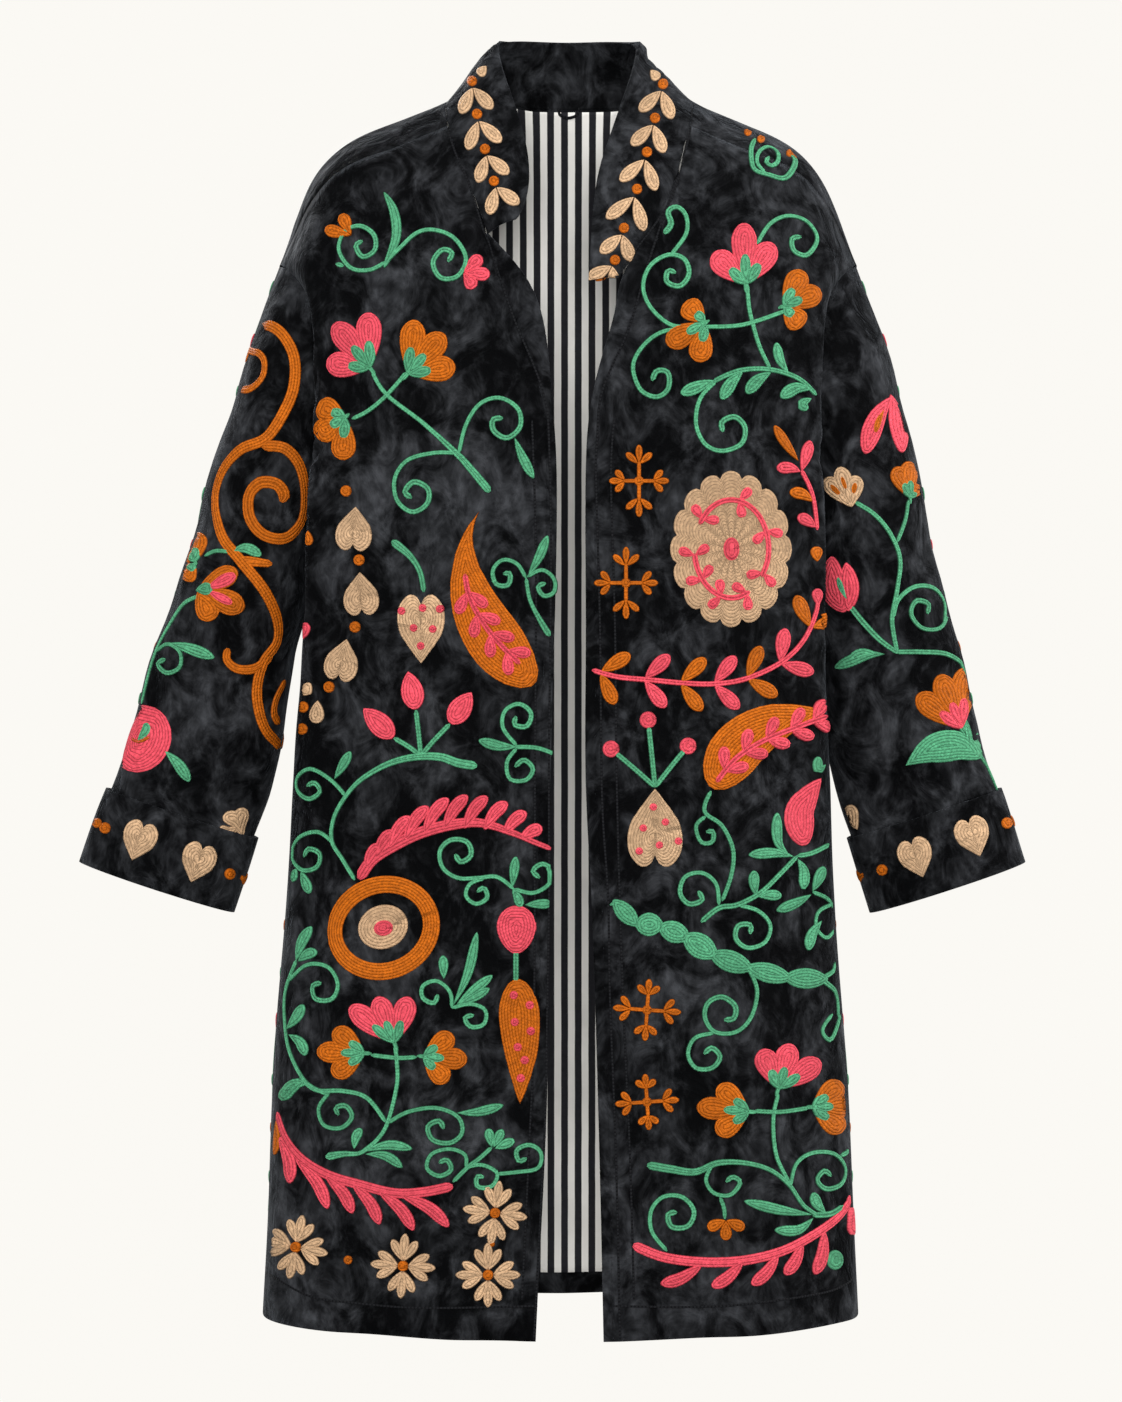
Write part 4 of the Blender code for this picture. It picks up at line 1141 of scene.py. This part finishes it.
def right_sleeve_flowers(g):
    g.leaf(PINK, [(892, 396), (880, 412), (872, 430), (865, 454)], 21, tip=0.62, root=0.8)
    g.leaf(PINK, [(890, 394), (896, 414), (900, 434), (902, 453)], 19, tip=0.55, root=0.8)
    g.leaf(ORANGE, [(884, 408), (878, 420), (874, 434)], 9, high=1.6)
    lily(g, BEIGE, (849, 499), [(832, 484), (842, 476), (854, 482)], 19, ORANGE, BEIGE)
    lily(g, ORANGE, (909, 492), [(899, 474), (908, 470), (915, 486)], 19)
    g.line(GREEN, [(855, 502), (875, 515), (891, 535), (900, 560), (897, 590), (892, 620),
        (897, 652)], 5.6)
    g.line(GREEN, [(908, 500), (905, 520), (897, 542)])
    g.line(GREEN, [(893, 618), (898, 600), (914, 587), (933, 588), (944, 603), (944, 625)], 5.6)
    g.line(GREEN, [(949, 612), (940, 628), (922, 628), (911, 614), (916, 601), (928, 604),
        (927, 614)], (5.2, 6.8))
    g.leaf(PINK, [(846, 612), (834, 588), (832, 556)], 28, tip=0.45, root=0.55, crown=0.6)
    g.leaf(PINK, [(848, 612), (850, 590), (846, 562)], 20, tip=0.5, root=0.55, crown=0.6, high=1.1)
    g.leaf(GREEN, [(849, 602), (842, 588), (838, 576)], 8, high=1.6)
    g.line(GREEN, [(848, 603), (862, 621), (880, 640), (898, 653)], (7, 6))
    leaves(g, GREEN, 13, [(886, 654), (864, 656), (834, 668)], [(880, 655), (862, 654),
        (848, 662)])
    g.line(GREEN, [(896, 652), (922, 652), (946, 654), (962, 664), (968, 676)], 6)
    lily(g, ORANGE, (956, 717), [(928, 701), (944, 687), (962, 682)], 26, cup=PINK)
    g.line(GREEN, [(957, 722), (967, 737), (982, 759), (1000, 786)], 6.5)
    g.leaf(GREEN, [(981, 758), (958, 746), (930, 750), (905, 766)], 33, tip=0.45, root=0.6,
        crown=1.0)
    g.leaf(GREEN, [(981, 756), (984, 736), (980, 716)], 14, tip=0.5)
    leaves(g, BEIGE, 16, [(858, 830), (852, 818), (850, 804)])


def cuff_flowers(g, hearts, dots_at, edges, turn):
    for centre in hearts:
        g.shape(BEIGE, centre, 42, 44, heart, turn=180 + turn, steps=44, rings=6)
    dots(g, ORANGE, dots_at)
    dots(g, ORANGE, edges, 11)


def hanging_leaves(g, row, wide, long=None):
    """A pair of leaves from each dot of a row toward the next."""
    for at, after in zip(row, row[1:]):
        top = toward(at, after, 0.20)
        for aside in (-34, 34):
            end = turned(top, long or 0.88 * math.dist(at, after), heading(at, after) + aside)
            g.leaf(BEIGE, [top, end], wide, tip=0.62)


def collar_flowers(g):
    left = [(472, 81), (477, 114), (485, 149), (494, 181), (505, 212)]
    right = [(663, 84), (655, 118), (647, 152), (637, 189), (624, 228), (615, 260), (600, 289)]
    for row in (left, right):
        dots(g, ORANGE, row if row is right else row[:-1], 11.5)
        hanging_leaves(g, row, 14.5)
    for top, lean in (((487, 66), 1), ((650, 70), -1)):
        g.leaf(BEIGE, [top, (top[0] - 9 * lean, top[1] + 10)], 11)


def collar_back_flowers(g):
    """The same row of dots and leaves round the back of the collar."""
    row = [(568.5 + k * 32, 38 + 1.5 * k * k) for k in range(-2, 3)]
    dots(g, ORANGE, row, 11.5)
    hanging_leaves(g, row, 14, 26)


def vine(g, stem):
    """A waving stem with leaves in pairs, for the sides, which the photograph doesn't show."""
    g.line(GREEN, stem, (5.2, 7))
    places = np.linspace(0.04, 0.94, max(5, round(abs(stem[-1][1] - stem[0][1]) / 52)))
    leaf_pairs(g, stem, places, (GREEN, PINK, GREEN, ORANGE), 23, 12, 130)


def back_flowers(g):
    """The back follows the fronts, with a middle column of its own."""
    left_front_flowers(g)
    right_front_flowers(g)
    wreath(g, (569, 235), 112, 140)
    lily(g, PINK, (569, 372), [(547, 349), (569, 338), (591, 349)])
    g.line(GREEN, [(569, 380), (576, 404), (562, 440), (569, 470)])
    snowflake(g, (573, 512), 52, 62)
    beige_heart(g, (574, 600), 40, 46, 180)
    dots(g, ORANGE, [(574, 560), (570, 645), (572, 742), (577, 1012), (577, 1250)])
    bud(g, (570, 716), (570, 668), 26)
    g.line(GREEN, [(572, 758), (584, 790), (568, 822), (576, 856)], (5, 8))
    snowflake(g, (580, 935), 48, 58)
    lily(g, ORANGE, (578, 1060), [(560, 1040), (578, 1030), (596, 1040)], 24)
    g.line(GREEN, [(578, 1068), (586, 1096), (570, 1130), (578, 1164)], (5, 8))
    cross_flower(g, (577, 1206), 30)


# Seams and rows of stitches on each front, from the collar down
FRONT_SEAMS = {
    "left": (
        [(446, 107), (449, 133), (459, 162), (468, 181), (476, 206), (487, 237)],
        [(487, 237), (497, 269), (515, 321), (534, 366), (545, 400), (549, 440), (551, 560),
         (549, 760), (549, 900), (547, 1020), (545, 1120), (536, 1300), (534, 1340)],
        [(532, 420), (536, 560), (535, 760), (534, 1020), (529, 1150), (522, 1300)],
        [(266, 1272), (309, 1296), (355, 1303), (424, 1308), (541, 1306)]),
    "right": (
        [(692, 108), (690, 131), (684, 154), (673, 195), (656, 223), (631, 256), (617, 279)],
        [(684, 158), (658, 233), (644, 277), (629, 328), (602, 392), (597, 443), (596, 480),
         (600, 627), (602, 796), (608, 896), (610, 998), (616, 1158), (620, 1340)],
        [(614, 420), (611, 480), (615, 627), (617, 796), (623, 998), (630, 1158), (634, 1300)],
        [(613, 1306), (689, 1307), (748, 1304), (827, 1292), (858, 1276)]),
}


def topstitching(g, *paths):
    """Thin raised lines of dark machine stitches."""
    for path in paths:
        g.line(SEAM, path, 2.3, high=0.45)


class CoatOperator:
    bl_options = {"REGISTER", "UNDO"}


class MakeVelvet(CoatOperator, bpy.types.Operator):
    """Lay crushed velvet over the back, fronts, sleeves, cuffs, collar and bands"""

    bl_idname = "coat.velvet"
    bl_label = "Velvet"

    def execute(self, context):
        for node in BODY + SLEEVES + ["collar"]:
            cloth_piece(node, velvet())
        return {"FINISHED"}


class MakeLining(CoatOperator, bpy.types.Operator):
    """Lay the striped cotton lining inside"""

    bl_idname = "coat.lining"
    bl_label = "Striped lining"

    def execute(self, context):
        for node in LININGS:
            cloth_piece(node, striped_cotton())
        return {"FINISHED"}


class EmbroiderFronts(CoatOperator, bpy.types.Operator):
    """Stitch scrolls, flowers and leaves on both fronts"""

    bl_idname = "coat.fronts"
    bl_label = "Embroidery on the fronts"

    def execute(self, context):
        left = Ground(["left_front", "left_band", "back_panel"])
        left_front_flowers(left)
        left.finish("left_front_embroidery")
        right = Ground(["right_front", "right_band", "back_panel"])
        right_front_flowers(right)
        right.finish("right_front_embroidery")
        return {"FINISHED"}


class EmbroiderSleeves(CoatOperator, bpy.types.Operator):
    """Stitch scrolls and flowers on the sleeves and hearts on the cuffs"""

    bl_idname = "coat.sleeves"
    bl_label = "Embroidery on the sleeves"

    def execute(self, context):
        for name, flowers, cuff in (
                ("left", left_sleeve_flowers,
                 ([(139, 840), (198, 862)], [(105, 828), (230, 874)],
                  [(97, 823), (245, 879)], 19)),
                ("right", right_sleeve_flowers,
                 ([(916, 857), (973, 836)], [(882, 870), (1007, 823)],
                  [(1017, 818), (859, 876)], -19))):
            for out, where in ((FRONT, "front"), (BACK, "back")):
                g = Ground([name + "_sleeve"], out)
                flowers(g)
                g.finish(f"{name}_sleeve_{where}_embroidery")
                g = Ground([name + "_cuff"], out)
                cuff_flowers(g, *cuff)
                g.finish(f"{name}_cuff_{where}_embroidery")
            g = Ground([name + "_sleeve"], LEFT if name == "left" else RIGHT)
            vine(g, [(588, 264), (578, 330), (592, 410), (580, 490), (592, 570), (582, 650),
                     (588, 735)])
            g.finish(name + "_sleeve_side_embroidery")
        return {"FINISHED"}


class EmbroiderBack(CoatOperator, bpy.types.Operator):
    """Stitch the back in the manner of the fronts"""

    bl_idname = "coat.back"
    bl_label = "Embroidery on the back"

    def execute(self, context):
        g = Ground(["back_panel", "left_front", "right_front"], BACK)
        back_flowers(g)
        g.finish("back_embroidery")
        for name, out in (("left", LEFT), ("right", RIGHT)):
            g = Ground([name + "_front", "back_panel"], out)
            vine(g, [(578, 760), (592, 840), (574, 920), (590, 1000), (576, 1080), (588, 1160),
                     (580, 1235)])
            g.finish(name + "_side_embroidery")
        return {"FINISHED"}


class EmbroiderCollar(CoatOperator, bpy.types.Operator):
    """Stitch the row of dots and leaf pairs along the collar"""

    bl_idname = "coat.collar"
    bl_label = "Embroidery on the collar"

    def execute(self, context):
        g = Ground(["collar"])
        collar_flowers(g)
        g.finish("collar_embroidery")
        g = Ground(["collar"], BACK)
        collar_back_flowers(g)
        g.finish("collar_back_embroidery")
        return {"FINISHED"}


class StitchSeams(CoatOperator, bpy.types.Operator):
    """Sew the collar and band seams, the hem line and the hanger loop"""

    bl_idname = "coat.seams"
    bl_label = "Seams and hanger loop"

    def execute(self, context):
        for name, seam_paths in FRONT_SEAMS.items():
            g = Ground(["collar", name + "_front", name + "_band"])
            topstitching(g, *seam_paths)
            g.finish(name + "_front_seams")
        g = Ground(["back_panel"], BACK)
        topstitching(g, [(276, 1274), (309, 1296), (424, 1308), (569, 1310), (713, 1308),
                         (827, 1292), (852, 1274)])
        g.finish("back_hem_stitches")
        g = Ground(["back_lining", "back_panel", "collar"], inside=True)
        g.line(SEAM, [(558, 108), (560, 115), (568, 118), (577, 115), (579, 108)], 3.4, high=1.6)
        g.finish("hanger_loop")
        return {"FINISHED"}


class MakeStage(CoatOperator, bpy.types.Operator):
    """Set up the pale backdrop, the lights and the camera"""

    bl_idname = "coat.stage"
    bl_label = "Stage"

    def execute(self, context):
        bm = bmesh.new()
        made = bmesh.ops.create_grid(bm, x_segments=2, y_segments=2, size=1.0)
        for vert in made["verts"]:
            vert.co = (vert.co.x * 9, 6.5, vert.co.y * 6 - 0.5)
        bmesh.ops.recalc_face_normals(bm, faces=bm.faces)
        mesh = bpy.data.meshes.new("backdrop")
        bm.to_mesh(mesh)
        bm.free()
        s = Shader("pale_paper")
        s.finish(Base_Color=s.blend(s.cloud(1.0), (0.045, 0.044, 0.042), (0.055, 0.054, 0.052)),
                 Roughness=0.95, Emission_Color=(0.935, 0.918, 0.878), Emission_Strength=1.0,
                 Specular_IOR_Level=0.0)
        mesh.materials.append(s.material)
        shown("backdrop", mesh)

        for name, place, aim, wide, power in (
                ("key_light", (-2.4, -3.0, 1.5), (0, 0, -0.5), 1.2, 52),
                ("front_light", (0.0, -4.6, -0.15), (0, 0, -0.6), 1.3, 138),
                ("rim_light", (2.6, -0.4, 0.6), (0.1, 0, -0.5), 1.2, 32),
                ("top_light", (0.1, -0.8, 2.2), (0, 0, -0.3), 1.6, 22),
                ("back_light", (-1.9, 3.4, 1.7), (0, 0, -0.5), 1.4, 90),
                ("side_light", (4.2, 0.6, 0.2), (0, 0, -0.5), 1.2, 60)):
            lamp = bpy.data.lights.new(name, "AREA")
            lamp.size, lamp.energy = wide, power
            held = shown(name, lamp)
            held.location = place
            held.rotation_euler = (Vector(aim) - Vector(place)).to_track_quat("-Z", "Y").to_euler()
        world = bpy.data.worlds.new("soft_room")
        world.use_nodes = True
        world.node_tree.nodes["Background"].inputs[0].default_value = (1.0, 0.99, 0.97, 1)
        world.node_tree.nodes["Background"].inputs[1].default_value = 0.36
        context.scene.world = world

        lens = bpy.data.cameras.new("photograph_view")
        lens.sensor_width = SENSOR
        lens.lens = FOCAL_PIXELS * SENSOR / HIGH
        lens.clip_end = 50
        held = shown("photograph_view", lens)
        held.location = EYE
        held.rotation_euler = (math.radians(90), 0, 0)
        context.scene.camera = held
        context.scene.view_settings.view_transform = "Standard"
        return {"FINISHED"}


class CoatPanel(bpy.types.Panel):
    """Everything the coat is made of, in order"""

    bl_idname = "VIEW3D_PT_coat"
    bl_label = "Embroidered coat"
    bl_space_type = "VIEW_3D"
    bl_region_type = "UI"
    bl_category = "Coat"

    def draw(self, context):
        for group in (context.scene.coat_colours, context.scene.coat_sizes):
            for key in type(group).__annotations__:
                self.layout.prop(group, key)
        for step in STEPS:
            self.layout.operator(step.bl_idname)


STEPS = (MakeStage, MakeVelvet, MakeLining, StitchSeams, EmbroiderFronts, EmbroiderSleeves,
         EmbroiderCollar, EmbroiderBack)


def register():
    for each in (CoatColours, CoatSizes, *STEPS, CoatPanel):
        bpy.utils.register_class(each)
    bpy.types.Scene.coat_colours = bpy.props.PointerProperty(type=CoatColours)
    bpy.types.Scene.coat_sizes = bpy.props.PointerProperty(type=CoatSizes)


def unregister():
    del bpy.types.Scene.coat_sizes
    del bpy.types.Scene.coat_colours
    for each in reversed((CoatColours, CoatSizes, *STEPS, CoatPanel)):
        bpy.utils.unregister_class(each)


def main():
    register()
    bpy.ops.coat.stage()
    bpy.ops.coat.velvet()
    bpy.ops.coat.lining()
    bpy.ops.coat.seams()
    bpy.ops.coat.fronts()
    bpy.ops.coat.sleeves()
    bpy.ops.coat.collar()
    bpy.ops.coat.back()


if __name__ == "__main__":
    main()
